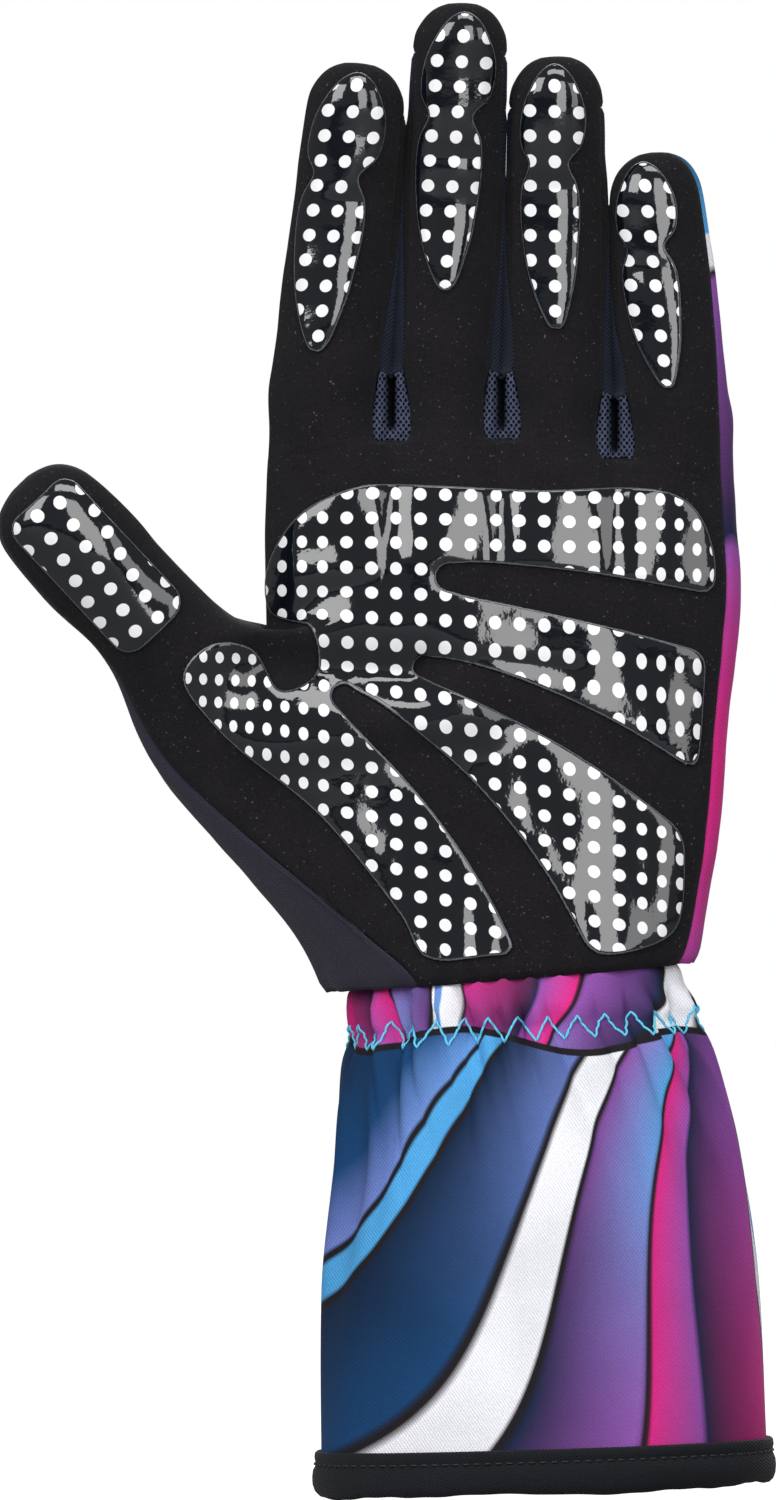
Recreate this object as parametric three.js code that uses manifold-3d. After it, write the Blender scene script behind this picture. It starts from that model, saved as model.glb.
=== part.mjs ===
// A left-hand karting glove in the form that it has on the hand, palm side forward, fingers up.
// Millimetres, +Z up, +X towards the little finger, -Y out of the palm. The origin is the middle of the wrist.
// One quad surface covers the hand. It is cut into the panels that the real glove is sewn from. Each panel is
// thickened inwards into a wall of its own, so the glove is hollow from its hem to each fingertip.
import * as THREE from 'three';
import { mergeVertices } from 'three/addons/utils/BufferGeometryUtils.js';
import Module from 'manifold-3d';

const wasm = await Module();
wasm.setup();

// Sizes of the hand part
const PALM_WIDTH = 90; // across the knuckles
const PALM_DEPTH = 30; // palm to back
const CROTCH_HEIGHT = 123.5; // wrist to the web between index and middle finger
const PALM_EDGE_HEIGHT = 7.8; // wrist to the lower edge of the hand's panels
const PALM_EDGE_RISE = 7.3; // rise of that edge over PALM_WIDTH, towards the little finger

// Sizes of the fingers
const INDEX_LENGTH = 60; // web to fingertip, and so on
const MIDDLE_LENGTH = 70;
const RING_LENGTH = 62;
const LITTLE_LENGTH = 48;
const FINGER_GAP = 1.3; // between two fingers at their web
const FINGER_DEPTH_SHARE = 0.92; // a finger's depth over its width
const FINGERTIP_DOME = 10; // length of a fingertip's rounded end
const FINGER_CURL = 7; // how far the longest fingertip bends towards the palm
const GUSSET_LENGTH = 15; // knitted gusset below each web
const GUSSET_WIDTH = 6.4;

// Sizes of the thumb
const THUMB_LENGTH = 55.5; // from the middle of its root to its tip
const THUMB_WIDTH = 23.2;
const THUMB_DEPTH = 21;
const THUMB_RISE = 47; // degrees above level, seen from the palm side
const THUMB_FORWARD = 9; // degrees that it leans out of the palm
const THUMB_ROOT_LEFT = 55.5; // how far the middle of its root is from the origin, each way
const THUMB_ROOT_FRONT = 5.5;
const THUMB_ROOT_HEIGHT = 61.7;
const THUMB_DOME = 10;

// Sizes of the wrist and cuff
const CUFF_LENGTH = 88; // wrist elastic to the lower edge of the printed cuff
const HEM_WIDTH = 85;
const HEM_DEPTH = 66;
const HEM_RISE = 2.4; // rise of the hem over HEM_WIDTH, towards the little finger
const PLEATS = 12; // gathers round the wrist elastic
const PLEAT_DEPTH = 1.3;

// Walls, gaps and pads
const SUEDE = 1.4;
const STRETCH_FABRIC = 1.2;
const KNIT = 1.2;
const SEAM_GAP = 0.36; // between two sewn panels
const GRIP_THICKNESS = 1.0;
const GRIP_GAP = 0.3; // under a grip pad
const PAD_TOLERANCE = 0.06; // how far a pad may be off its true surface, so that it has few faces
const BINDING_HEIGHT = 6.6;
const BINDING_WALL = 1.2;
const BINDING_CLEARANCE = 0.35;

// Sizes of the grip pads
const FINGER_GRIP_WIDTH = 14.4;
const THUMB_GRIP_LENGTH = 34;
const THUMB_GRIP_WIDTH = 15.5;
const THUMB_GRIP_CORNER = 3.5;
const THUMB_GRIP_END = 3.5; // from the thumb's tip to the pad's end
const SLOT_WIDENING = 0.6; // exponent of how a slot in the palm's pad widens along its length

// Quads that the surface is divided into
const FRONT_QUADS = 4; // across a finger's front, and across its back
const SIDE_QUADS = 2; // across a finger's side
const BRIDGE_QUADS = 2; // across the strip between two fingers
const DOME_ROWS = 3;
const THUMB_BACK_QUADS = 3; // of the hand's back that the thumb's opening takes

const SEAM_ANGLE = 60; // degrees from a finger's front to the seam of its side wall
const TIP_SEAM_ANGLE = 78; // the same at the fingertip
const LITTLE_SEAM_ANGLE = 68; // the same round the palm's edge below the little finger
const SQUARENESS = 2.5; // exponent of the palm's and cuff's rounded sections, where 2 is an ellipse

const radians = THREE.MathUtils.degToRad;
const { lerp, clamp } = THREE.MathUtils;
const smooth = (share) => THREE.MathUtils.smoothstep(share, 0, 1);
const steps = (count) => Array.from({ length: count }, (_, i) => i);
const at = (x, y, z) => new THREE.Vector3(x, y, z);

// Fingers from the thumb side on. web, webNext, tip: places of the webs on its two sides and of its tip, as
// shares of PALM_WIDTH. webHeight: share of CROTCH_HEIGHT. tipWidth: share of the width at its root.
// gripTop, gripEnd: where its grip pad starts and ends, as shares of its length from the web.
// shiftTop, shiftEnd: how far those ends lie off its middle, and gripWidth, as shares of FINGER_GRIP_WIDTH.
const FINGERS = [
  { name: 'index', length: INDEX_LENGTH, web: -0.511, webNext: -0.251, webHeight: 0.975, tip: -0.317,
    tipWidth: 0.84, gripTop: 0.96, gripEnd: 0.08, shiftTop: 0.0, shiftEnd: -0.2, gripWidth: 1.0 },
  { name: 'middle', length: MIDDLE_LENGTH, web: -0.251, webNext: -0.019, webHeight: 1.0, tip: -0.101,
    tipWidth: 0.92, gripTop: 0.965, gripEnd: 0.21, shiftTop: 0.04, shiftEnd: -0.06, gripWidth: 0.98 },
  { name: 'ring', length: RING_LENGTH, web: -0.019, webNext: 0.22, webHeight: 1.0, tip: 0.096,
    tipWidth: 0.88, gripTop: 0.965, gripEnd: 0.15, shiftTop: -0.02, shiftEnd: -0.03, gripWidth: 0.88 },
  { name: 'little', length: LITTLE_LENGTH, web: 0.22, webNext: 0.47, webHeight: 0.965, tip: 0.3,
    tipWidth: 0.83, gripTop: 0.955, gripEnd: 0.05, shiftTop: -0.14, shiftEnd: -0.08, gripWidth: 0.83 },
];
const LAST_WEB_HEIGHT = 0.93; // the little finger's outer side, as a share of CROTCH_HEIGHT

// Sections of the palm. up: share of the way from its lower edge to the webs.
// left, right: shares of PALM_WIDTH. front, back: shares of PALM_DEPTH from the mid-plane.
const PALM_SECTIONS = [
  { up: 0.0, left: -0.392, right: 0.392, front: 0.66, back: 0.67 },
  { up: 0.1, left: -0.41, right: 0.417, front: 0.61, back: 0.63 },
  { up: 0.22, left: -0.44, right: 0.44, front: 0.57, back: 0.59 },
  { up: 0.4, left: -0.48, right: 0.458, front: 0.53, back: 0.55 },
  { up: 0.55, left: -0.512, right: 0.477, front: 0.5, back: 0.52 },
  { up: 0.68, left: -0.518, right: 0.489, front: 0.49, back: 0.5 },
  { up: 0.8, left: -0.521, right: 0.481, front: 0.46, back: 0.48 },
  { up: 0.9, left: -0.515, right: 0.471, front: 0.4, back: 0.43 },
  { up: 1.0, left: -0.511, right: 0.464, front: 0.33, back: 0.36 },
];

// Rows of quads up the palm, as shares of the way from its lower edge to the webs
const GUSSET_START = 1 - GUSSET_LENGTH / (CROTCH_HEIGHT - PALM_EDGE_HEIGHT);
const ROWS_BY_THUMB = [0, 0.12, 0.23, 0.33, 0.42, 0.49, 0.545, 0.6]; // the thumb's opening ends at the last
const ROWS_BELOW_GUSSETS = [0.69, 0.79];
const ROWS_BY_GUSSETS = [0, 0.2, 0.55, 1].map((share) => lerp(GUSSET_START, 1, share));
const PALM_ROWS = [...ROWS_BY_THUMB, ...ROWS_BELOW_GUSSETS, ...ROWS_BY_GUSSETS];
const THUMB_ROW = ROWS_BY_THUMB.length - 1;
const GUSSET_ROW = ROWS_BY_THUMB.length + ROWS_BELOW_GUSSETS.length;
const KNUCKLES_START = 0.7; // where the palm starts to turn into four fingers

// Half width of the strip between two fingers, as a share of GUSSET_WIDTH. up is as in PALM_SECTIONS.
const BRIDGES = [
  { up: 0.0, half: 0.16 },
  { up: 0.7, half: 0.2 },
  { up: GUSSET_START, half: 0.12 },
  { up: lerp(GUSSET_START, 1, 0.2), half: 0.42 },
  { up: lerp(GUSSET_START, 1, 0.55), half: 0.5 },
  { up: 1, half: 0.3 },
];

// How the hand's surface flows into the thumb on each side of its opening.
// lean: how far it already points along the thumb at the opening's edge.
// pull, push: how stiffly it leaves that edge and meets the thumb, as shares of THUMB_LENGTH.
// rise: how far it meets the thumb from below.
const THUMB_FLOW = {
  topFront: { lean: 0.5, pull: 0.35, push: 0.4, rise: 0 },
  top: { lean: 0.0, pull: 0.35, push: 0.45, rise: 0 },
  back: { lean: 0.15, pull: 0.8, push: 0.5, rise: 0 },
  bottom: { lean: 0.35, pull: 1.0, push: 1.3, rise: 1.0 },
  front: { lean: 0.1, pull: 0.8, push: 0.5, rise: 0.1 },
};
const THUMB_FLOW_ROWS = [0.16, 0.34, 0.54, 0.76, 1];

// Thumb sections. along: share of THUMB_LENGTH. width, depth: shares of THUMB_WIDTH and THUMB_DEPTH.
const THUMB_SECTIONS = [
  { along: 0.3, width: 1.0, depth: 1.02 },
  { along: 0.5, width: 0.97, depth: 0.95 },
  { along: 0.66, width: 1.0, depth: 0.94 },
  { along: 1 - THUMB_DOME / THUMB_LENGTH, width: 0.94, depth: 0.9 },
];
const THUMB_SEAMS = { index: 90, wrist: 82 }; // degrees from its front to its two seams

// Sections of the cuff. down: share of CUFF_LENGTH below the wrist. left and right: shares of HEM_WIDTH.
// front and back: shares of HEM_DEPTH. pleat: share of PLEAT_DEPTH.
const CUFF_SECTIONS = [
  { down: 0.0, left: -0.372, right: 0.382, front: 0.29, back: 0.3, pleat: 0.8 },
  { down: 0.05, left: -0.355, right: 0.39, front: 0.295, back: 0.305, pleat: 1.0 },
  { down: 0.12, left: -0.362, right: 0.407, front: 0.32, back: 0.33, pleat: 0.9 },
  { down: 0.23, left: -0.375, right: 0.454, front: 0.36, back: 0.37, pleat: 0.55 },
  { down: 0.37, left: -0.381, right: 0.5, front: 0.405, back: 0.41, pleat: 0.35 },
  { down: 0.6, left: -0.411, right: 0.545, front: 0.45, back: 0.45, pleat: 0.15 },
  { down: 1 - BINDING_HEIGHT / CUFF_LENGTH, left: -0.415, right: 0.566, front: 0.48, back: 0.475, pleat: 0.0 },
  { down: 1.0, left: -0.406, right: 0.57, front: 0.485, back: 0.48, pleat: 0.0 },
];

// Creases of the palm at the bent thumb, each between two ends, as shares of PALM_WIDTH and CROTCH_HEIGHT.
// out: how far the surface stands out of the palm there, less than 0 in a valley. spread: its half width.
const CREASES = [
  { out: -3.2, spread: 5.5, fromAcross: -0.52, fromUp: 0.555, toAcross: -0.2, toUp: 0.53 },
  { out: 2.2, spread: 6.0, fromAcross: -0.5, fromUp: 0.43, toAcross: -0.1, toUp: 0.475 },
];

// A finger's grip pad. along: share of the pad's length from its top. left, right: how far its edges are from
// its middle line, as shares of half its width.
const FINGER_GRIP = [
  { along: 0.0, left: 0.0, right: 0.0 },
  { along: 0.02, left: 0.34, right: 0.34 },
  { along: 0.08, left: 0.68, right: 0.66 },
  { along: 0.18, left: 0.95, right: 0.9 },
  { along: 0.3, left: 0.98, right: 0.8 },
  { along: 0.37, left: 0.76, right: 0.42 },
  { along: 0.45, left: 0.95, right: 0.66 },
  { along: 0.54, left: 1.0, right: 0.74 },
  { along: 0.72, left: 0.72, right: 0.62 },
  { along: 0.9, left: 0.32, right: 0.3 },
  { along: 0.98, left: 0.14, right: 0.14 },
  { along: 1.0, left: 0.0, right: 0.0 },
];

// Outline of the palm's grip pad without its slots, from below the index finger round by the little finger,
// the wrist and the thumb. across: share of PALM_WIDTH. up: share of CROTCH_HEIGHT.
const PALM_GRIP = [
  { across: -0.511, up: 0.69 },
  { across: -0.443, up: 0.777 },
  { across: -0.32, up: 0.82 },
  { across: -0.249, up: 0.823 },
  { across: 0.034, up: 0.814 },
  { across: 0.361, up: 0.803 },
  { across: 0.427, up: 0.72 },
  { across: 0.411, up: 0.55 },
  { across: 0.395, up: 0.4 },
  { across: 0.37, up: 0.3 },
  { across: 0.345, up: 0.14 },
  { across: 0.26, up: 0.107 },
  { across: 0.18, up: 0.1 },
  { across: -0.02, up: 0.1 },
  { across: -0.177, up: 0.097 },
  { across: -0.232, up: 0.162 },
  { across: -0.397, up: 0.311 },
  { across: -0.623, up: 0.452 },
  { across: -0.69, up: 0.53 },
  { across: -0.63, up: 0.578 },
  { across: -0.545, up: 0.572 },
  { across: -0.484, up: 0.506 },
  { across: -0.412, up: 0.53 },
  { across: -0.42, up: 0.6 },
  { across: -0.5, up: 0.625 },
];

// Slots that divide the pad into rays. Each runs from a round inner end to the pad's edge, and its middle line
// bends up by a share of its length, sag. width is at the inner end, and widthEnd at the edge.
const PALM_SLOTS = [
  { across: -0.128, up: 0.681, toAcross: 0.49, toUp: 0.595, sag: 0.02, width: 5.0, widthEnd: 11.2 },
  { across: -0.18, up: 0.544, toAcross: 0.467, toUp: 0.279, sag: 0.057, width: 4.2, widthEnd: 11.0 },
  { across: -0.351, up: 0.496, toAcross: 0.12, toUp: 0.0486, sag: 0.075, width: 4.4, widthEnd: 13.0 },
];

// The value of a table's column where its key column is at a place, on a smooth curve through the rows
function readTable(table, key, column, place) {
  const last = table.length - 1;
  let i = 0;
  while (i < last - 1 && place > table[i + 1][key]) i += 1;
  const slope = (k) => {
    const before = table[Math.max(k - 1, 0)];
    const after = table[Math.min(k + 1, last)];
    return (after[column] - before[column]) / (after[key] - before[key]);
  };
  const span = table[i + 1][key] - table[i][key];
  const t = clamp((place - table[i][key]) / span, 0, 1);
  const held = lerp(table[i][column], table[i + 1][column], smooth(t));
  return held + span * t * (1 - t) * (slope(i) * (1 - t) - slope(i + 1) * t);
}

// The surface: every vertex, and every quad with the panel that it belongs to
const vertices = [];
const quads = [];

function addVertex(point) {
  vertices.push(point);
  return vertices.length - 1;
}

// Adds the quads between two rows of vertex numbers. panelOf names the panel of the quad at each place, if any.
function addStrip(low, high, panelOf, closed = false) {
  const count = closed ? low.length : low.length - 1;
  for (let i = 0; i < count; i += 1) {
    const next = (i + 1) % low.length;
    const panel = panelOf(i);
    if (panel) quads.push({ corners: [low[i], low[next], high[next], high[i]], panel });
  }
}

// Closes a tip with triangles to its middle, each stored as a quad with two corners alike.
function closeTip(ring, pole, panelOf) {
  const tip = addVertex(pole);
  ring.forEach((from, i) => {
    quads.push({ corners: [from, ring[(i + 1) % ring.length], tip, tip], panel: panelOf(i) });
  });
}

// Rows of a tip's dome. out: share of its length. width: share of the full width.
const DOME = steps(DOME_ROWS).map((i) => {
  const angle = radians((84 * (i + 1)) / DOME_ROWS);
  return { out: Math.sin(angle), width: Math.cos(angle) ** 0.85 };
});

// Height of the lower edge of the hand's panels, and of the line of the webs, at a place across the palm
const lowerEdge = (x) => PALM_EDGE_HEIGHT + (PALM_EDGE_RISE * x) / PALM_WIDTH;
const WEB_LINE = [
  ...FINGERS.map(({ web, webHeight }) => ({ across: web * PALM_WIDTH, height: webHeight * CROTCH_HEIGHT })),
  { across: FINGERS.at(-1).webNext * PALM_WIDTH, height: LAST_WEB_HEIGHT * CROTCH_HEIGHT },
];
const webHeightAt = (x) => readTable(WEB_LINE, 'across', 'height', x);
const rootRadius = (finger) => ((finger.webNext - finger.web) * PALM_WIDTH - FINGER_GAP) / 2;

// The palm's rounded section at a share of its height
function palmSection(up) {
  const value = (column) => readTable(PALM_SECTIONS, 'up', column, up);
  const left = value('left') * PALM_WIDTH;
  const right = value('right') * PALM_WIDTH;
  return {
    middle: (left + right) / 2,
    half: (right - left) / 2,
    front: value('front') * PALM_DEPTH,
    back: value('back') * PALM_DEPTH,
  };
}

// A point of a rounded section, where angle 0 is its little finger side and 90 degrees its back
function sectionPoint(section, angle, z) {
  const bulge = (value) => Math.sign(value) * Math.abs(value) ** (2 / SQUARENESS);
  const depth = Math.sin(angle) < 0 ? section.front : section.back;
  return at(section.middle + section.half * bulge(Math.cos(angle)), depth * bulge(Math.sin(angle)), z);
}

// Depth of a rounded section at x. side is -1 for its front and 1 for its back.
function sectionDepth(section, x, side) {
  const share = Math.min(Math.abs(x - section.middle) / section.half, 1);
  const depth = side < 0 ? section.front : section.back;
  return side * depth * (1 - share ** SQUARENESS) ** (1 / SQUARENESS);
}

// The point at a place on a row of the palm. Its height comes from the lower edge and the line of the webs.
const onRow = (x, y, up) => at(x, y, lerp(lowerEdge(x), webHeightAt(x), up));
const turnAt = (up) => smooth((up - KNUCKLES_START) / (1 - KNUCKLES_START));

// Where a finger's stretch of the palm starts and ends across, at a share of the height
function stretchAt(index, up) {
  const finger = FINGERS[index];
  const section = palmSection(up);
  const seam = (1 - Math.sin(radians(SEAM_ANGLE))) * rootRadius(finger) + FINGER_GAP / 2;
  const edgeAngle = radians(index === 3 ? LITTLE_SEAM_ANGLE : SEAM_ANGLE);
  const rim = section.half * (1 - Math.sin(edgeAngle) ** (2 / SQUARENESS));
  const outer = lerp(rim, seam, turnAt(up));
  const inner = readTable(BRIDGES, 'up', 'half', up) * GUSSET_WIDTH;
  const spread = section.half / palmSection(1).half;
  const across = (web) => section.middle + (web * PALM_WIDTH - palmSection(1).middle) * Math.min(spread, 1);
  const start = index === 0 ? section.middle - section.half + outer : across(finger.web) + inner;
  const end = index === 3 ? section.middle + section.half - outer : across(finger.webNext) - inner;
  return { start, end, section };
}

// A vertex of the palm's front or back. place is the share of the way across the finger's stretch.
function palmPoint(index, place, up, side) {
  const { start, end, section } = stretchAt(index, up);
  const turn = turnAt(up);
  const angle = radians(SEAM_ANGLE) * (2 * place - 1);
  const spaced = lerp(2 * place - 1, Math.sin(angle) / Math.sin(radians(SEAM_ANGLE)), turn);
  const x = (start + end) / 2 + ((end - start) / 2) * spaced;
  const fingerDepth = side * rootRadius(FINGERS[index]) * FINGER_DEPTH_SHARE * Math.cos(angle);
  return onRow(x, lerp(sectionDepth(section, x, side), fingerDepth, turn), up);
}

// A vertex of the strip between two fingers, which sinks between them as it comes up to the web
function bridgePoint(index, place, up, side) {
  const from = palmPoint(index, 1, up, side);
  const sunk = turnAt(up) * Math.sin(Math.PI * place);
  return from.lerp(palmPoint(index + 1, 0, up, side), place).add(at(0, -side * sunk, -sunk));
}

// A vertex on the palm's outer side, from its front seam at place 0 to its back seam at 1.
// edge is -1 on the thumb side and 1 on the little finger side.
function sidePoint(edge, place, up) {
  const finger = FINGERS[edge < 0 ? 0 : 3];
  const section = palmSection(up);
  const angle = radians(lerp(SEAM_ANGLE, 180 - SEAM_ANGLE, place));
  const onPalm = sectionPoint(section, angle - radians(90), 0);
  const radius = rootRadius(finger);
  const middle = ((finger.web + finger.webNext) / 2) * PALM_WIDTH;
  const turn = turnAt(up);
  const palmX = section.middle + edge * (onPalm.x - section.middle);
  const x = lerp(palmX, middle + edge * (radius * Math.sin(angle) + FINGER_GAP / 2), turn);
  return onRow(x, lerp(onPalm.y, -radius * FINGER_DEPTH_SHARE * Math.cos(angle), turn), up);
}

// One row of the palm as vertex numbers: across the front, round the little finger side, across the back and
// round the thumb side. front and back say where each finger's stretch starts in it.
function palmRing(up) {
  const ring = [];
  const front = [];
  const back = [];
  const addAcross = (side, index) => {
    (side < 0 ? front : back)[index] = ring.length;
    for (const i of steps(FRONT_QUADS + 1)) {
      const place = i / FRONT_QUADS;
      ring.push(addVertex(palmPoint(index, side < 0 ? place : 1 - place, up, side)));
    }
    const bridge = side < 0 ? index : index - 1;
    if (bridge < 0 || bridge > 2) return;
    for (const i of steps(BRIDGE_QUADS - 1)) {
      const place = (i + 1) / BRIDGE_QUADS;
      ring.push(addVertex(bridgePoint(bridge, side < 0 ? place : 1 - place, up, side)));
    }
  };
  const addAround = (edge) => {
    for (const i of steps(SIDE_QUADS - 1)) {
      const place = (i + 1) / SIDE_QUADS;
      ring.push(addVertex(sidePoint(edge, edge > 0 ? place : 1 - place, up)));
    }
  };
  [0, 1, 2, 3].forEach((index) => addAcross(-1, index));
  addAround(1);
  [3, 2, 1, 0].forEach((index) => addAcross(1, index));
  addAround(-1);
  return { ring, front, back };
}

const wallName = (index) => `side_wall_${FINGERS[index].name}_${FINGERS[index + 1].name}`;
const gussetName = (index) => `mesh_gusset_${FINGERS[index].name}_${FINGERS[index + 1].name}`;

// The panel of a quad of the palm, by its place in the row. The thumb's opening has none.
function palmPanel({ ring, front, back }, row, i) {
  const lastFront = front[3] + FRONT_QUADS;
  const lastBack = back[0] + FRONT_QUADS;
  if (row < THUMB_ROW && (i < FRONT_QUADS || i >= lastBack - THUMB_BACK_QUADS)) return null;
  if (i >= lastBack) return ring.length - i <= SIDE_QUADS / 2 ? 'palm_panel' : 'back_panel';
  if (i >= lastFront) return 'back_panel';
  const bridge = [0, 1, 2].find((k) => i >= front[k] + FRONT_QUADS && i < front[k + 1]);
  return row >= GUSSET_ROW && bridge !== undefined ? gussetName(bridge) : 'palm_panel';
}

// The web between two fingers. Returns its inner rows of vertex numbers, from the palm side to the back.
function addWeb(index, top) {
  const frontFrom = top.front[index] + FRONT_QUADS;
  const backFrom = top.back[index + 1] + FRONT_QUADS;
  const frontEdge = top.ring.slice(frontFrom, frontFrom + BRIDGE_QUADS + 1);
  const backEdge = top.ring.slice(backFrom, backFrom + BRIDGE_QUADS + 1).reverse();
  const middle = FINGERS[index].webNext * PALM_WIDTH;
  const rows = steps(SIDE_QUADS - 1).map((i) => {
    const angle = radians(lerp(SEAM_ANGLE, 180 - SEAM_ANGLE, (i + 1) / SIDE_QUADS));
    return steps(BRIDGE_QUADS + 1).map((j) => {
      const place = (2 * j) / BRIDGE_QUADS - 1;
      const radius = rootRadius(FINGERS[index + (place > 0 ? 1 : 0)]);
      const x = middle + place * (FINGER_GAP / 2 + radius * (1 - Math.sin(angle)));
      const y = -radius * FINGER_DEPTH_SHARE * Math.cos(angle);
      return addVertex(at(x, y, webHeightAt(x) - FINGER_GAP * (1 - Math.abs(place))));
    });
  });
  const all = [frontEdge, ...rows, backEdge];
  for (const i of steps(all.length - 1)) addStrip(all[i], all[i + 1], () => wallName(index));
  return rows;
}

// The ring that a finger starts from: its front, its far side, its back and its near side
function fingerRoot(index, top, webs) {
  const { ring, front, back } = top;
  const frontPart = ring.slice(front[index], front[index] + FRONT_QUADS + 1);
  const backPart = ring.slice(back[index], back[index] + FRONT_QUADS + 1);
  const far = index === 3 ? ring.slice(front[3] + FRONT_QUADS + 1, back[3]) : webs[index].map((row) => row[0]);
  const beside = () => webs[index - 1].map((row) => row.at(-1)).reverse();
  const near = index === 0 ? ring.slice(back[0] + FRONT_QUADS + 1) : beside();
  return [...frontPart, ...far, ...backPart, ...near];
}

// The panel of a quad round a finger. Side walls lie between two fingers and end where the dome starts.
function fingerPanel(index, i, inDome) {
  const back = FRONT_QUADS + SIDE_QUADS;
  const near = back + FRONT_QUADS;
  if (i < FRONT_QUADS) return 'palm_panel';
  if (i >= back && i < near) return 'back_panel';
  const isFar = i < back;
  if (isFar && index === 3) return 'back_panel';
  const fromFront = isFar ? i - FRONT_QUADS : near + SIDE_QUADS - 1 - i;
  if (inDome || (!isFar && index === 0)) return fromFront < SIDE_QUADS / 2 ? 'palm_panel' : 'back_panel';
  return wallName(isFar ? index : index - 1);
}

// Angles of a finger's vertices from its front, in degrees
function fingerAngles(seam) {
  const parts = [
    { from: -seam, to: seam, count: FRONT_QUADS },
    { from: seam, to: 180 - seam, count: SIDE_QUADS },
    { from: 180 - seam, to: 180 + seam, count: FRONT_QUADS },
    { from: 180 + seam, to: 360 - seam, count: SIDE_QUADS },
  ];
  return parts.flatMap(({ from, to, count }) => steps(count).map((i) => lerp(from, to, i / count)));
}

// The middle line of a finger: its root, its direction and length, and how it bends towards the palm
function fingerLine(finger) {
  const rootX = ((finger.web + finger.webNext) / 2) * PALM_WIDTH;
  const ends = [finger.web, finger.webNext]
    .map((web) => at(web * PALM_WIDTH, 0, webHeightAt(web * PALM_WIDTH)));
  const root = at(rootX, 0, (ends[0].z + ends[1].z) / 2);
  const axis = at(finger.tip * PALM_WIDTH - rootX, 0, finger.length);
  const rootAcross = ends[1].clone().sub(ends[0]).normalize();
  const tipAcross = at(axis.z, 0, -axis.x).normalize();
  const point = (along) => {
    const middle = root.clone().addScaledVector(axis, along);
    middle.y -= FINGER_CURL * ((along * finger.length) / MIDDLE_LENGTH) ** 2;
    return middle;
  };
  const across = (along) => rootAcross.clone().lerp(tipAcross, smooth(along / 0.4)).normalize();
  const radius = (along) => rootRadius(finger) * lerp(1, finger.tipWidth, smooth(along));
  return { point, across, radius };
}

// Adds a finger from its root ring to its tip.
function addFinger(index, rootRing) {
  const finger = FINGERS[index];
  const line = fingerLine(finger);
  const domeStart = 1 - FINGERTIP_DOME / finger.length;
  const rows = [
    ...[0.12, 0.3, 0.52, 0.76, 1].map((share) => ({ along: share * domeStart, width: 1, inDome: false })),
    ...DOME.map(({ out, width }) => ({ along: lerp(domeStart, 1, out), width, inDome: true })),
  ];
  let low = rootRing;
  for (const { along, width, inDome } of rows) {
    const radius = line.radius(along) * width;
    const seam = lerp(SEAM_ANGLE, TIP_SEAM_ANGLE, smooth(along / domeStart));
    const high = fingerAngles(seam).map((angle) => {
      const point = line.point(along).addScaledVector(line.across(along), radius * Math.sin(radians(angle)));
      point.y -= radius * FINGER_DEPTH_SHARE * Math.cos(radians(angle));
      return addVertex(point);
    });
    addStrip(low, high, (i) => fingerPanel(index, i, inDome), true);
    low = high;
  }
  closeTip(low, line.point(1), (i) => fingerPanel(index, i, true));
}

// The thumb's directions: along it, across it towards the index finger, and out of its front
const thumbAxis = at(
  -Math.cos(radians(THUMB_RISE)) * Math.cos(radians(THUMB_FORWARD)),
  -Math.sin(radians(THUMB_FORWARD)),
  Math.sin(radians(THUMB_RISE)) * Math.cos(radians(THUMB_FORWARD)),
);
const thumbAcross = at(Math.sin(radians(THUMB_RISE)), 0, Math.cos(radians(THUMB_RISE)));
const thumbFront = new THREE.Vector3().crossVectors(thumbAcross, thumbAxis).normalize();
const thumbRoot = at(-THUMB_ROOT_LEFT, -THUMB_ROOT_FRONT, THUMB_ROOT_HEIGHT);
const thumbPoint = (along) => thumbRoot.clone().addScaledVector(thumbAxis, along * THUMB_LENGTH);

// The edge of the thumb's opening: over the top, down the back, under it and up the front. Each place has its
// vertex, the direction in which the surface leaves it and the row of THUMB_FLOW that it follows.
function thumbOpening(rings) {
  const size = rings[0].ring.length;
  const lastBack = rings[0].back[0] + FRONT_QUADS;
  const sweep = [];
  for (let i = FRONT_QUADS; i >= lastBack - THUMB_BACK_QUADS - size; i -= 1) sweep.push((i + size) % size);
  const backSeam = sweep.at(-1);
  const place = (vertex, beside, side) => {
    return { vertex, out: vertices[vertex].clone().sub(vertices[beside]).normalize(), side };
  };
  const between = steps(THUMB_ROW - 1).map((k) => k + 1);
  const edge = [
    ...sweep.map((i, k) => {
      const side = k < FRONT_QUADS ? 'topFront' : 'top';
      return place(rings[THUMB_ROW].ring[i], rings[THUMB_ROW + 1].ring[i], side);
    }),
    ...[...between].reverse()
      .map((row) => place(rings[row].ring[backSeam], rings[row].ring[backSeam - 1], 'back')),
    ...[...sweep].reverse().map((i) => ({ vertex: rings[0].ring[i], out: at(0, 0, 1), side: 'bottom' })),
    ...between.map((row) => place(rings[row].ring[FRONT_QUADS], rings[row].ring[FRONT_QUADS + 1], 'front')),
  ];
  const indexSeam = FRONT_QUADS + SIDE_QUADS / 2;
  const wristSeam = 2 * (sweep.length - 1) + THUMB_ROW;
  return { edge, indexSeam, wristSeam };
}

// Each value round a closed row, evened out with its neighbours
function evenOut(values, times) {
  let even = values;
  for (const _ of steps(times)) {
    const before = even;
    even = before.map((value, i) => {
      const next = before[(i + 1) % before.length];
      return value.clone().multiplyScalar(2).add(before.at(i - 1)).add(next).divideScalar(4);
    });
  }
  return even;
}

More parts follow.
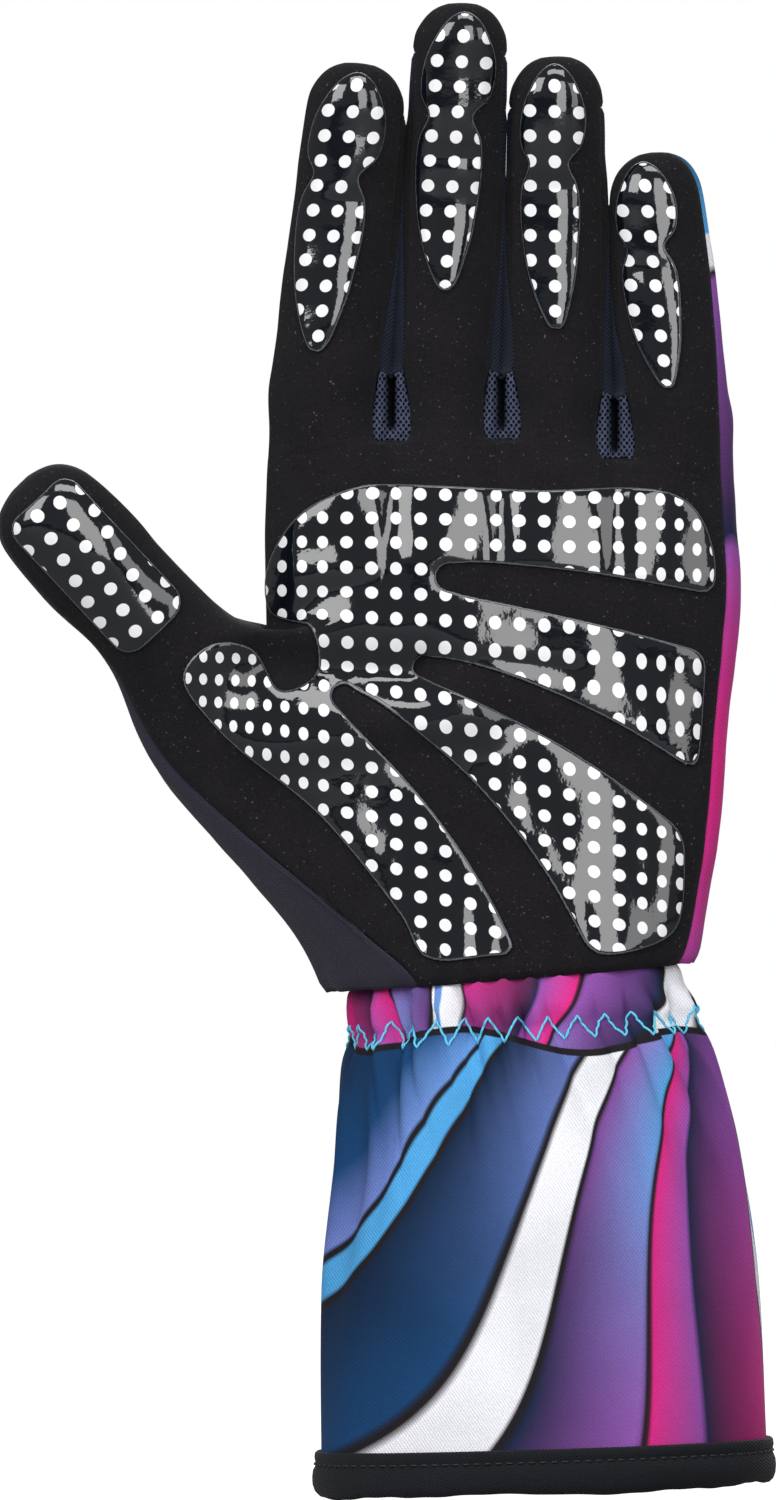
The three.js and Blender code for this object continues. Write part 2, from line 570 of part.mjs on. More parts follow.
// Adds the thumb from the opening's edge to its tip.
function addThumb(rings) {
  const { edge, indexSeam, wristSeam } = thumbOpening(rings);
  const size = edge.length;
  const isPalm = (i) => i < indexSeam || i >= wristSeam;
  const panelOf = (i) => (isPalm(i) ? 'palm_panel' : 'thumb_side_panel');
  const angleOf = (i) => {
    if (i >= indexSeam && i < wristSeam) {
      return lerp(THUMB_SEAMS.index, 360 - THUMB_SEAMS.wrist, (i - indexSeam) / (wristSeam - indexSeam));
    }
    const place = (i + size - wristSeam) % size;
    return lerp(-THUMB_SEAMS.wrist, THUMB_SEAMS.index, place / (size - wristSeam + indexSeam));
  };
  const sectionRing = ({ along, width, depth }) => steps(size).map((i) => {
    const angle = radians(angleOf(i));
    return thumbPoint(along)
      .addScaledVector(thumbAcross, (width * THUMB_WIDTH * Math.sin(angle)) / 2)
      .addScaledVector(thumbFront, (depth * THUMB_DEPTH * Math.cos(angle)) / 2);
  });
  const goal = sectionRing(THUMB_SECTIONS[0]);
  const leave = evenOut(edge.map(({ out, side }) => {
    const { lean, pull } = THUMB_FLOW[side];
    return out.clone().lerp(thumbAxis, lean).normalize().multiplyScalar(pull * THUMB_LENGTH);
  }), 3);
  const meet = evenOut(edge.map(({ side }) => {
    const { push, rise } = THUMB_FLOW[side];
    return thumbAxis.clone().lerp(at(0, 0, 1), rise).normalize().multiplyScalar(push * THUMB_LENGTH);
  }), 3);
  let low = edge.map(({ vertex }) => vertex);
  const addRow = (points) => {
    const high = points.map(addVertex);
    addStrip(low, high, panelOf, true);
    low = high;
  };
  for (const t of THUMB_FLOW_ROWS) {
    addRow(edge.map(({ vertex }, i) => {
      const held = vertices[vertex].clone().lerp(goal[i], smooth(t));
      return held.addScaledVector(leave[i], t * (1 - t) ** 2).addScaledVector(meet[i], t * t * (t - 1));
    }));
  }
  THUMB_SECTIONS.slice(1).forEach((section) => addRow(sectionRing(section)));
  const last = THUMB_SECTIONS.at(-1);
  for (const { out, width } of DOME) {
    const along = lerp(last.along, 1, out);
    addRow(sectionRing({ along, width: last.width * width, depth: last.depth * width }));
  }
  closeTip(low, thumbPoint(1), panelOf);
}

// How far the creases move a point out of the palm
function creaseAt(point) {
  const facing = smooth((-point.y - 5) / 7);
  let out = 0;
  for (const crease of CREASES) {
    const from = at(crease.fromAcross * PALM_WIDTH, 0, crease.fromUp * CROTCH_HEIGHT);
    const to = at(crease.toAcross * PALM_WIDTH, 0, crease.toUp * CROTCH_HEIGHT);
    const place = at(point.x, 0, point.z);
    const foot = new THREE.Line3(from, to).closestPointToPoint(place, true, new THREE.Vector3());
    out += crease.out * facing * Math.exp(-((foot.distanceTo(place) / crease.spread) ** 2));
  }
  return out;
}

// The hand part
const rings = PALM_ROWS.map(palmRing);
for (const row of steps(rings.length - 1)) {
  addStrip(rings[row].ring, rings[row + 1].ring, (i) => palmPanel(rings[row], row, i), true);
}
const top = rings.at(-1);
const webs = [0, 1, 2].map((index) => addWeb(index, top));
FINGERS.forEach((_, index) => addFinger(index, fingerRoot(index, top, webs)));
addThumb(rings);
vertices.forEach((point) => {
  point.y -= creaseAt(point);
});

// The cuff. Its top edge meets the palm's lower edge, and it is gathered round the wrist.
const CUFF_QUADS = 4 * PLEATS;
const cuffAngle = (i) => Math.PI + (2 * Math.PI * i) / CUFF_QUADS;
function cuffRing(row) {
  const value = (column, size) => readTable(CUFF_SECTIONS, 'down', column, row.down) * size;
  const left = value('left', HEM_WIDTH);
  const right = value('right', HEM_WIDTH);
  const section = {
    middle: (left + right) / 2,
    half: (right - left) / 2,
    front: value('front', HEM_DEPTH),
    back: value('back', HEM_DEPTH),
  };
  const pleat = value('pleat', PLEAT_DEPTH);
  return steps(CUFF_QUADS).map((i) => {
    const point = sectionPoint(section, cuffAngle(i), 0);
    const out = at(point.x - section.middle, point.y, 0).normalize();
    point.addScaledVector(out, pleat * Math.cos(PLEATS * cuffAngle(i)));
    point.z = row.down * (-CUFF_LENGTH + (HEM_RISE * point.x) / HEM_WIDTH);
    return point;
  });
}
const cuffTop = steps(CUFF_QUADS).map((i) => {
  const point = sectionPoint(palmSection(0), cuffAngle(i), 0);
  point.z = lowerEdge(point.x);
  return point;
});
const cuffRings = CUFF_SECTIONS.map(cuffRing);
const cuffEdge = cuffTop.map(addVertex);
let above = cuffEdge;
for (const ring of cuffRings) {
  const below = ring.map(addVertex);
  addStrip(below, above, () => 'cuff', true);
  above = below;
}

// Outward direction of the surface at each vertex
const normals = vertices.map(() => at(0, 0, 0));
const trianglesOf = ({ corners: [a, b, c, d] }) => {
  if (c === d) return [[a, b, c]];
  const isShort = vertices[a].distanceTo(vertices[c]) < vertices[b].distanceTo(vertices[d]);
  return isShort ? [[a, b, c], [a, c, d]] : [[a, b, d], [b, c, d]];
};
for (const triangle of quads.flatMap(trianglesOf)) {
  const corners = triangle.map((i) => vertices[i]);
  const facing = new THREE.Triangle(...corners).getNormal(new THREE.Vector3());
  triangle.forEach((vertex, i) => {
    const toNext = corners[(i + 1) % 3].clone().sub(corners[i]);
    const toLast = corners[(i + 2) % 3].clone().sub(corners[i]);
    normals[vertex].addScaledVector(facing, toNext.angleTo(toLast));
  });
}
for (const i of [...rings[0].ring, ...cuffEdge]) normals[i].setZ(0);
normals.forEach((normal) => normal.normalize());

// A closed solid from the quads of one panel, between two offsets from the surface. inset draws its rim in.
function sheetSolid(panelQuads, outer, inner, inset) {
  const triangles = panelQuads.flatMap(trianglesOf);
  const edges = new Map();
  for (const [a, b, c] of triangles) {
    for (const [from, to] of [[a, b], [b, c], [c, a]]) edges.set(`${from} ${to}`, [from, to]);
  }
  const rim = [...edges.values()].filter(([from, to]) => !edges.has(`${to} ${from}`));
  const inward = new Map();
  for (const [from, to] of rim) {
    const along = vertices[to].clone().sub(vertices[from]).normalize();
    for (const i of [from, to]) {
      const left = new THREE.Vector3().crossVectors(normals[i], along).normalize();
      inward.set(i, [...(inward.get(i) ?? []), left]);
    }
  }
  const numbers = new Map();
  const points = [];
  for (const i of new Set(triangles.flat())) {
    const place = vertices[i].clone();
    if (inward.has(i)) {
      const sum = inward.get(i).reduce((total, left) => total.add(left), at(0, 0, 0));
      const count = inward.get(i).length;
      const miter = clamp(sum.length() / count, 0.6, 1);
      place.addScaledVector(sum.normalize(), inset / miter);
    }
    numbers.set(i, points.length);
    points.push(place.clone().addScaledVector(normals[i], outer));
    points.push(place.clone().addScaledVector(normals[i], inner));
  }
  const faces = [];
  for (const triangle of triangles) {
    const [a, b, c] = triangle.map((i) => numbers.get(i));
    faces.push([a, b, c], [a + 1, c + 1, b + 1]);
  }
  for (const edge of rim) {
    const [a, b] = edge.map((i) => numbers.get(i));
    const cornersToEdge = edge[0] < edge[1]
      ? [[a + 1, b + 1, b], [a + 1, b, a]]
      : [[a + 1, b + 1, a], [b + 1, b, a]];
    faces.push(...cornersToEdge);
  }
  return { points, faces };
}

function toGeometry({ points, faces }) {
  const geometry = new THREE.BufferGeometry();
  geometry.setAttribute('position', new THREE.Float32BufferAttribute(points.flatMap((p) => p.toArray()), 3));
  geometry.setIndex(faces.flat());
  return geometry;
}

function toManifold(geometry) {
  const bare = new THREE.BufferGeometry();
  bare.setAttribute('position', geometry.getAttribute('position').clone());
  if (geometry.index) bare.setIndex(geometry.index.clone());
  const merged = mergeVertices(bare, 1e-4);
  return new wasm.Manifold(new wasm.Mesh({
    numProp: 3,
    vertProperties: new Float32Array(merged.getAttribute('position').array),
    triVerts: new Uint32Array(merged.index.array),
  }));
}

function fromManifold(solid) {
  const mesh = solid.getMesh();
  const geometry = new THREE.BufferGeometry();
  geometry.setAttribute('position', new THREE.Float32BufferAttribute(Array.from(mesh.vertProperties), 3));
  geometry.setIndex(Array.from(mesh.triVerts));
  return geometry;
}

// The hem's binding: a band folded over the cuff's lower edge, with one wall outside it and one inside
function bindingGeometry() {
  const [ringAbove, ringBelow] = cuffRings.slice(-2);
  const outside = BINDING_CLEARANCE + BINDING_WALL;
  const inside = STRETCH_FABRIC + BINDING_CLEARANCE;
  const profile = [
    { ring: ringBelow, out: outside, down: outside },
    { ring: ringAbove, out: outside, down: 0 },
    { ring: ringAbove, out: BINDING_CLEARANCE, down: 0 },
    { ring: ringBelow, out: BINDING_CLEARANCE, down: BINDING_CLEARANCE },
    { ring: ringBelow, out: -inside, down: BINDING_CLEARANCE },
    { ring: ringAbove, out: -inside, down: 0 },
    { ring: ringAbove, out: -inside - BINDING_WALL, down: 0 },
    { ring: ringBelow, out: -inside - BINDING_WALL, down: outside },
  ];
  const points = profile.flatMap(({ ring, out, down }) => ring.map((point, i) => {
    const along = ring[(i + 1) % CUFF_QUADS].clone().sub(ring.at(i - 1));
    const outward = at(along.y, -along.x, 0).normalize();
    return point.clone().addScaledVector(outward, out).add(at(0, 0, -down));
  }));
  const faces = [];
  for (const row of steps(profile.length)) {
    const nextRow = (row + 1) % profile.length;
    for (const i of steps(CUFF_QUADS)) {
      const next = (i + 1) % CUFF_QUADS;
      const [a, b] = [i, next].map((k) => row * CUFF_QUADS + k);
      const [d, c] = [i, next].map((k) => nextRow * CUFF_QUADS + k);
      faces.push([a, b, c], [a, c, d]);
    }
  }
  return toGeometry({ points, faces });
}

// A prism that stands on an outline and reaches out through the pads. frame has its directions and its middle.
function prism(outline, frame) {
  const shape = new THREE.Shape(outline.map(({ x, z }) => new THREE.Vector2(x, z)));
  const reach = PALM_DEPTH * 1.5;
  const geometry = new THREE.ExtrudeGeometry(shape, { depth: reach, bevelEnabled: false, steps: 1 });
  const out = new THREE.Vector3().crossVectors(frame.across, frame.up);
  geometry.applyMatrix4(new THREE.Matrix4().makeBasis(frame.across, frame.up, out).setPosition(frame.middle));
  return toManifold(geometry);
}
const PALM_FRAME = { across: at(1, 0, 0), up: at(0, 0, 1), middle: at(0, -2, 0) };

// A smooth closed outline through the rows of a table of places on the palm
function smoothOutline(table, count) {
  const curve = new THREE.CatmullRomCurve3(
    table.map(({ across, up }) => at(across * PALM_WIDTH, 0, up * CROTCH_HEIGHT)),
    true,
    'centripetal',
  );
  return curve.getPoints(count).slice(0, -1);
}

// The outline of a slot: a wedge along a bent line, with a round inner end
function slotOutline(slot) {
  const from = at(slot.across * PALM_WIDTH, 0, slot.up * CROTCH_HEIGHT);
  const to = at(slot.toAcross * PALM_WIDTH, 0, slot.toUp * CROTCH_HEIGHT);
  const along = to.clone().sub(from);
  const side = at(-along.z, 0, along.x).normalize();
  const bend = from.clone().lerp(to, 0.5).addScaledVector(side, 2 * slot.sag * along.length());
  const line = new THREE.QuadraticBezierCurve3(from, bend, to);
  const edge = (sign) => steps(9).map((i) => {
    const share = i / 8;
    const width = lerp(slot.width, slot.widthEnd, share ** SLOT_WIDENING);
    return line.getPoint(share).addScaledVector(side, (sign * width) / 2);
  });
  const round = [-60, -30, 0, 30, 60].map((angle) => from.clone()
    .addScaledVector(side, (slot.width / 2) * Math.sin(radians(angle)))
    .addScaledVector(along.clone().normalize(), (-slot.width / 2) * Math.cos(radians(angle))));
  return [...edge(-1).reverse(), ...round, ...edge(1)];
}

// The outline of a finger's pad, which follows the finger's middle line
function fingerGripOutline(finger) {
  const line = fingerLine(finger);
  const edge = (side, sign) => FINGER_GRIP.map((row) => {
    const share = lerp(finger.gripTop, finger.gripEnd, row.along);
    const middle = lerp(finger.shiftTop, finger.shiftEnd, row.along);
    const off = middle + (sign * row[side] * finger.gripWidth) / 2;
    return line.point(share).addScaledVector(line.across(share), off * FINGER_GRIP_WIDTH);
  });
  const outline = [...edge('left', -1), ...edge('right', 1).slice(1, -1).reverse()];
  const curve = new THREE.CatmullRomCurve3(outline, true, 'centripetal');
  return curve.getPoints(44).slice(0, -1);
}

// The outline of the thumb's pad in the thumb's own directions: a rectangle with round corners
function thumbGripOutline() {
  const [halfWidth, halfLength] = [THUMB_GRIP_WIDTH / 2, THUMB_GRIP_LENGTH / 2];
  const corners = [
    { x: 1, z: 1, from: 0 },
    { x: -1, z: 1, from: 90 },
    { x: -1, z: -1, from: 180 },
    { x: 1, z: -1, from: 270 },
  ];
  return corners.flatMap(({ x, z, from }) => [0, 30, 60, 90].map((turn) => at(
    x * (halfWidth - THUMB_GRIP_CORNER) + THUMB_GRIP_CORNER * Math.cos(radians(from + turn)),
    0,
    z * (halfLength - THUMB_GRIP_CORNER) + THUMB_GRIP_CORNER * Math.sin(radians(from + turn)),
  )));
}
const thumbGripMiddle = 1 - (THUMB_GRIP_END + THUMB_GRIP_LENGTH / 2) / THUMB_LENGTH;
const THUMB_FRAME = { across: thumbAcross, up: thumbAxis, middle: thumbPoint(thumbGripMiddle) };

// The pads are cut from one layer that lies on the palm panel.
const panelQuads = (name) => quads.filter(({ panel }) => panel === name);
const padLayer = toManifold(toGeometry(
  sheetSolid(panelQuads('palm_panel'), GRIP_GAP + GRIP_THICKNESS, GRIP_GAP, SEAM_GAP / 2),
));
const cutPad = (shape) => fromManifold(padLayer.intersect(shape).simplify(PAD_TOLERANCE));
const palmPad = PALM_SLOTS.reduce(
  (pad, slot) => pad.subtract(prism(slotOutline(slot), PALM_FRAME)),
  prism(smoothOutline(PALM_GRIP, 72), PALM_FRAME),
);

// Pieces and their colours
const COLOURS = {
  suede: { color: 0x1f1c1d, roughness: 0.95 },
  print: { color: 0x1d4f86, roughness: 0.6 },
  twill: { color: 0x121a2a, roughness: 0.8 },
  knit: { color: 0x2b3042, roughness: 0.9 },
  side: { color: 0x2b2838, roughness: 0.75 },
  binding: { color: 0x14151d, roughness: 0.85 },
  silicone: { color: 0x0a0d12, roughness: 0.3 },
};
const group = new THREE.Group();
group.name = 'karting_glove';

function addPiece(name, look, geometry) {
  const mesh = new THREE.Mesh(geometry, new THREE.MeshStandardMaterial({ ...COLOURS[look], metalness: 0 }));
  mesh.name = name;
  group.add(mesh);
}
const addPanel = (name, look, wall) => {
  addPiece(name, look, toGeometry(sheetSolid(panelQuads(name), 0, -wall, SEAM_GAP / 2)));
};

addPanel('palm_panel', 'suede', SUEDE);
addPanel('back_panel', 'print', STRETCH_FABRIC);
addPanel('thumb_side_panel', 'side', STRETCH_FABRIC);
for (const index of [0, 1, 2]) {
  addPanel(wallName(index), 'twill', STRETCH_FABRIC);
  addPanel(gussetName(index), 'knit', KNIT);
}
addPanel('cuff', 'print', STRETCH_FABRIC);
addPiece('hem_binding', 'binding', bindingGeometry());
for (const finger of FINGERS) {
  addPiece(`grip_${finger.name}`, 'silicone', cutPad(prism(fingerGripOutline(finger), PALM_FRAME)));
}
addPiece('grip_thumb', 'silicone', cutPad(prism(thumbGripOutline(), THUMB_FRAME)));
addPiece('grip_palm', 'silicone', cutPad(palmPad));

export default group;
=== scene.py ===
"""A left-hand karting glove, palm side forward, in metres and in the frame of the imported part.

One quad surface covers the hand. It is refined, creased and gathered, then cut into the sewn panels. The grip
pads lie on it, and the cuff is gathered onto its lower edge.
"""

import math

import bpy
import numpy as np
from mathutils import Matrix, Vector, noise
from mathutils.bvhtree import BVHTree
from mathutils.kdtree import KDTree


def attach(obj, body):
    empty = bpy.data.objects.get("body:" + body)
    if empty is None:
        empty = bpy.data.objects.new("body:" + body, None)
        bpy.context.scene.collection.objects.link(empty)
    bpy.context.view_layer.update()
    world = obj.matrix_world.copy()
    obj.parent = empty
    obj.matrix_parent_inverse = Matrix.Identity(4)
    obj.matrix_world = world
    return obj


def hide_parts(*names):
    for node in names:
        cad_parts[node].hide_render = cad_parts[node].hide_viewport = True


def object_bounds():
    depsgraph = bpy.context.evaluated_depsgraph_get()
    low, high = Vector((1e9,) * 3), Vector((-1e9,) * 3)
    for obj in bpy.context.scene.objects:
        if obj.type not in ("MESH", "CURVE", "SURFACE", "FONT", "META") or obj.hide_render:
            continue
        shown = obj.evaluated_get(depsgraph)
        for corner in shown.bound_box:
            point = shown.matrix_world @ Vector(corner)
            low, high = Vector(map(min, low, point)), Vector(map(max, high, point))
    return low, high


MM = 0.001

# Sizes of the hand part, in millimetres
PALM_WIDTH = 90.0
PALM_DEPTH = 30.0
CROTCH_HEIGHT = 123.5
PALM_EDGE_HEIGHT = 7.8
PALM_EDGE_RISE = 7.3
FINGER_GAP = 1.3
FINGER_DEPTH_SHARE = 0.92
FINGERTIP_DOME = 10.0
FINGER_CURL = 7.0
FINGERS_PART = (175.0, 163.0, 166.0)
MIDDLE_LENGTH = 70.0
GUSSET_LENGTH = 15.0
GUSSET_WIDTH = 6.4
GUSSET_TAIL = 0.13
GUSSET_FOLD = 4.2
GUSSET_ROLL = 0.9
THUMB_LENGTH = 55.5
THUMB_WIDTH = 23.2
THUMB_DEPTH = 21.0
THUMB_RISE = math.radians(47)
THUMB_FORWARD = math.radians(9)
THUMB_ROOT = np.array((-55.5, -5.5, 61.7))
THUMB_DOME = 10.0

# Sizes of the wrist, cuff and hem
CUFF_LENGTH = 88.0
HEM_WIDTH = 85.0
HEM_DEPTH = 66.0
HEM_RISE = 2.4
CUFF_OVERLAP = 2.0
FINE_GATHERS = 30
FINE_GATHER_DEPTH = 2.0
COARSE_GATHERS = 13
COARSE_GATHER_DEPTH = 1.8
ELASTIC_PULL = 1.2
BINDING_HEIGHT = 6.6

# Walls, pads and threads
SUEDE_WALL = 1.3
FABRIC_WALL = 1.0
PAD_THICKNESS = 0.75
FINGER_GRIP_WIDTH = 14.4
THUMB_GRIP_LENGTH = 34.0
THUMB_GRIP_WIDTH = 15.5
THUMB_GRIP_CORNER = 3.5
THUMB_GRIP_END = 3.5
DOT_PITCH = 4.66
FINGER_DOTS_ACROSS = 4.3
FINGER_DOTS_ALONG = 4.72
ZIGZAG_PITCH = 5.5
ZIGZAG_HEIGHT = 4.8
ZIGZAG_STEPS = 12
THREAD = 0.24
HEM_THREAD = 0.2
HEM_STITCHES = 110

# How finely the cage is divided
FRONT_QUADS = 4
SIDE_QUADS = 2
BRIDGE_QUADS = 2
DOME_ROWS = 3
THUMB_BACK_QUADS = 3
SEAM_ANGLE = math.radians(60)
TIP_SEAM_ANGLE = math.radians(78)
LITTLE_SEAM_ANGLE = math.radians(68)
SQUARENESS = 2.5
REFINE_LEVELS = 3


def table(columns, *rows):
    names = columns.split()
    return [dict(zip(names, row)) for row in rows]


FINGERS = table(
    "name length web web_next web_height tip tip_width grip_top grip_end shift_top shift_end grip_width",
    ("index", 60.0, -0.511, -0.251, 0.975, -0.317, 0.84, 0.96, 0.08, 0.0, -0.2, 1.0),
    ("middle", 70.0, -0.251, -0.019, 1.0, -0.101, 0.92, 0.965, 0.21, 0.04, -0.06, 0.98),
    ("ring", 62.0, -0.019, 0.22, 1.0, 0.096, 0.88, 0.965, 0.15, -0.02, -0.03, 0.88),
    ("little", 48.0, 0.22, 0.47, 0.965, 0.3, 0.83, 0.955, 0.05, -0.14, -0.08, 0.83),
)
LAST_WEB_HEIGHT = 0.93
PALM_SECTIONS = table(
    "up left right front back",
    (0.0, -0.392, 0.392, 0.66, 0.67),
    (0.1, -0.41, 0.417, 0.61, 0.63),
    (0.22, -0.44, 0.44, 0.57, 0.59),
    (0.4, -0.48, 0.458, 0.53, 0.55),
    (0.55, -0.512, 0.477, 0.5, 0.52),
    (0.68, -0.518, 0.489, 0.49, 0.5),
    (0.8, -0.521, 0.481, 0.46, 0.48),
    (0.9, -0.515, 0.471, 0.4, 0.43),
    (1.0, -0.511, 0.464, 0.33, 0.36),
)
GUSSET_START = 1 - GUSSET_LENGTH / (CROTCH_HEIGHT - PALM_EDGE_HEIGHT)
ROWS_BY_THUMB = [0, 0.12, 0.23, 0.33, 0.42, 0.49, 0.545, 0.6]
ROWS_BELOW_GUSSETS = [0.69, 0.79]
ROWS_BY_GUSSETS = [GUSSET_START + (1 - GUSSET_START) * share for share in (0, 0.11, 0.3, 0.6, 1)]
PALM_ROWS = ROWS_BY_THUMB + ROWS_BELOW_GUSSETS + ROWS_BY_GUSSETS
THUMB_ROW = len(ROWS_BY_THUMB) - 1
GUSSET_ROW = len(ROWS_BY_THUMB) + len(ROWS_BELOW_GUSSETS)
KNUCKLES_START = 0.7
BRIDGES = table(
    "up half",
    (0.0, 0.16),
    (0.7, 0.2),
    (GUSSET_START, 0.08),
    (ROWS_BY_GUSSETS[1], 0.36),
    (ROWS_BY_GUSSETS[2], 0.53),
    (ROWS_BY_GUSSETS[3], 0.47),
    (1.0, 0.3),
)
THUMB_FLOW = {
    "top_front": {"lean": 0.5, "pull": 0.35, "push": 0.4, "rise": 0.0},
    "top": {"lean": 0.0, "pull": 0.35, "push": 0.45, "rise": 0.0},
    "back": {"lean": 0.15, "pull": 0.8, "push": 0.5, "rise": 0.0},
    "bottom": {"lean": 0.35, "pull": 1.0, "push": 1.3, "rise": 1.0},
    "front": {"lean": 0.1, "pull": 0.8, "push": 0.5, "rise": 0.1},
}
THUMB_FLOW_ROWS = [0.16, 0.34, 0.54, 0.76, 1.0]
THUMB_SECTIONS = table(
    "along width depth",
    (0.3, 1.0, 1.02),
    (0.5, 0.97, 0.95),
    (0.66, 1.0, 0.94),
    (1 - THUMB_DOME / THUMB_LENGTH, 0.94, 0.9),
)
THUMB_SEAMS = {"index": math.radians(90), "wrist": math.radians(82)}
CUFF_SECTIONS = table(
    "down left right front back",
    (-0.1, -0.4, 0.4, 0.285, 0.295),
    (0.0, -0.372, 0.382, 0.29, 0.3),
    (0.05, -0.355, 0.39, 0.295, 0.305),
    (0.12, -0.362, 0.407, 0.32, 0.33),
    (0.23, -0.375, 0.454, 0.36, 0.37),
    (0.37, -0.381, 0.5, 0.405, 0.41),
    (0.6, -0.411, 0.545, 0.45, 0.45),
    (1 - BINDING_HEIGHT / CUFF_LENGTH, -0.415, 0.566, 0.48, 0.475),
    (1.0, -0.406, 0.57, 0.485, 0.48),
)
FINGER_GRIP = table(
    "along left right",
    (0.0, 0.0, 0.0),
    (0.02, 0.34, 0.34),
    (0.08, 0.68, 0.66),
    (0.18, 0.95, 0.9),
    (0.3, 0.98, 0.8),
    (0.37, 0.76, 0.42),
    (0.45, 0.95, 0.66),
    (0.54, 1.0, 0.74),
    (0.7, 0.9, 0.68),
    (0.8, 0.76, 0.6),
    (0.88, 0.58, 0.47),
    (0.95, 0.36, 0.33),
    (0.985, 0.2, 0.2),
    (1.0, 0.0, 0.0),
)
PALM_GRIP = table(
    "across up",
    (-0.511, 0.69),
    (-0.443, 0.777),
    (-0.32, 0.82),
    (-0.249, 0.823),
    (0.034, 0.814),
    (0.361, 0.803),
    (0.427, 0.72),
    (0.411, 0.55),
    (0.395, 0.4),
    (0.37, 0.3),
    (0.345, 0.14),
    (0.26, 0.107),
    (0.18, 0.1),
    (-0.02, 0.1),
    (-0.177, 0.097),
    (-0.232, 0.162),
    (-0.397, 0.311),
    (-0.623, 0.452),
    (-0.69, 0.53),
    (-0.63, 0.578),
    (-0.545, 0.572),
    (-0.484, 0.506),
    (-0.412, 0.53),
    (-0.42, 0.6),
    (-0.5, 0.625),
)
PALM_SLOTS = table(
    "across up to_across to_up sag width width_end",
    (-0.128, 0.681, 0.49, 0.595, 0.02, 5.0, 11.2),
    (-0.18, 0.544, 0.467, 0.279, 0.057, 4.2, 11.0),
    (-0.351, 0.496, 0.12, 0.0486, 0.075, 4.4, 13.0),
)
SLOT_WIDENING = 0.6
SLOT_ROUNDING = 3.4

# Lines on the palm where it turns into the thumb, which are evened out before they are creased.
THUMB_FOLDS = (((-44.0, 66.5), (-14.0, 65.0)), ((-38.0, 75.0), (-20.0, 75.0)))

# Creases of the worn glove, each between two places in millimetres seen from the palm side. out: how far the
# surface stands out there, less than 0 in a valley. spread: its half width. side: -1 on the palm, 1 on the back.
CREASES = table(
    "side out spread x0 z0 x1 z1",
    (-1, -3.2, 5.5, -46.8, 68.5, -18.0, 65.5),
    (-1, 2.4, 6.0, -45.0, 53.1, -9.0, 58.7),
    (-1, -0.5, 3.0, -44.0, 66.0, -16.0, 64.5),
    (-1, -0.7, 2.4, -16.0, 69.0, 12.0, 66.0),
    (-1, -0.5, 2.6, -8.0, 60.5, 20.0, 51.0),
    (-1, 0.5, 3.2, -40.0, 84.0, -12.0, 90.0),
    (-1, -0.5, 2.6, 2.0, 84.0, 30.0, 80.0),
    (-1, 0.45, 4.0, -30.0, 36.0, -12.0, 20.0),
    (-1, -0.5, 2.6, -36.0, 128.0, -27.0, 129.5),
    (-1, -0.55, 2.2, -33.0, 155.0, -23.0, 156.0),
    (-1, -0.5, 2.2, -17.0, 164.0, -7.0, 164.0),
    (-1, -0.5, 2.2, 4.0, 158.0, 13.5, 157.5),
    (-1, -0.5, 2.2, 23.0, 143.0, 32.0, 142.0),
    (-1, -0.6, 2.4, -62.0, 72.0, -72.0, 63.0),
    (1, -0.6, 2.6, -35.0, 122.0, -24.0, 123.0),
    (1, -0.6, 2.6, -18.0, 127.0, -4.0, 127.0),
    (1, -0.6, 2.6, 2.0, 126.0, 16.0, 125.0),
    (1, -0.6, 2.6, 23.0, 120.0, 38.0, 118.0),
    (1, -0.9, 4.0, -50.0, 40.0, -30.0, 66.0),
)


def lerp(a, b, share):
    return a + (b - a) * share


def clamp(value, low=0.0, high=1.0):
    return min(max(value, low), high)


def smooth(share):
    share = np.clip(share, 0.0, 1.0)
    return share * share * (3 - 2 * share)


def hump(off, width):
    """1 at the middle, falling to nothing as it gets further off than a width."""
    return np.exp(-((off / width) ** 2))


def at(x, y, z):
    return np.array((x, y, z), float)


def unit(vector):
    return vector / np.linalg.norm(vector)


def read_table(rows, key, column, place):
    """The value of a column where the key column is at a place, on a smooth curve through the rows."""
    last = len(rows) - 1
    i = 0
    while i < last - 1 and place > rows[i + 1][key]:
        i += 1

    def slope(k):
        before, after = rows[max(k - 1, 0)], rows[min(k + 1, last)]
        return (after[column] - before[column]) / (after[key] - before[key])

    span = rows[i + 1][key] - rows[i][key]
    t = clamp((place - rows[i][key]) / span)
    held = lerp(rows[i][column], rows[i + 1][column], smooth(t))
    return held + span * t * (1 - t) * (slope(i) * (1 - t) - slope(i + 1) * t)


# The cage: every point of the quad surface, and every quad with the panel that it belongs to

points = []
quads = []


def add_point(point):
    points.append(point)
    return len(points) - 1


def add_strip(low, high, panel_of, closed=False):
    count = len(low) if closed else len(low) - 1
    for i in range(count):
        after = (i + 1) % len(low)
        panel = panel_of(i)
        if panel:
            quads.append(((low[i], low[after], high[after], high[i]), panel))


def close_tip(ring, pole, panel_of):
    tip = add_point(pole)
    for i, start in enumerate(ring):
        quads.append(((start, ring[(i + 1) % len(ring)], tip), panel_of(i)))


DOME = [
    {"out": math.sin(angle), "width": math.cos(angle) ** 0.85}
    for angle in (math.radians(84 * (i + 1) / DOME_ROWS) for i in range(DOME_ROWS))
]
WEB_LINE = [{"across": f["web"] * PALM_WIDTH, "height": f["web_height"] * CROTCH_HEIGHT} for f in FINGERS]
WEB_LINE.append({
    "across": FINGERS[-1]["web_next"] * PALM_WIDTH,
    "height": LAST_WEB_HEIGHT * CROTCH_HEIGHT,
})


def gap_middle(index):
    """How far across the gap after a finger is."""
    return FINGERS[index]["web_next"] * PALM_WIDTH


def lower_edge(x):
    return PALM_EDGE_HEIGHT + PALM_EDGE_RISE * x / PALM_WIDTH


def web_height_at(x):
    return read_table(WEB_LINE, "across", "height", x)


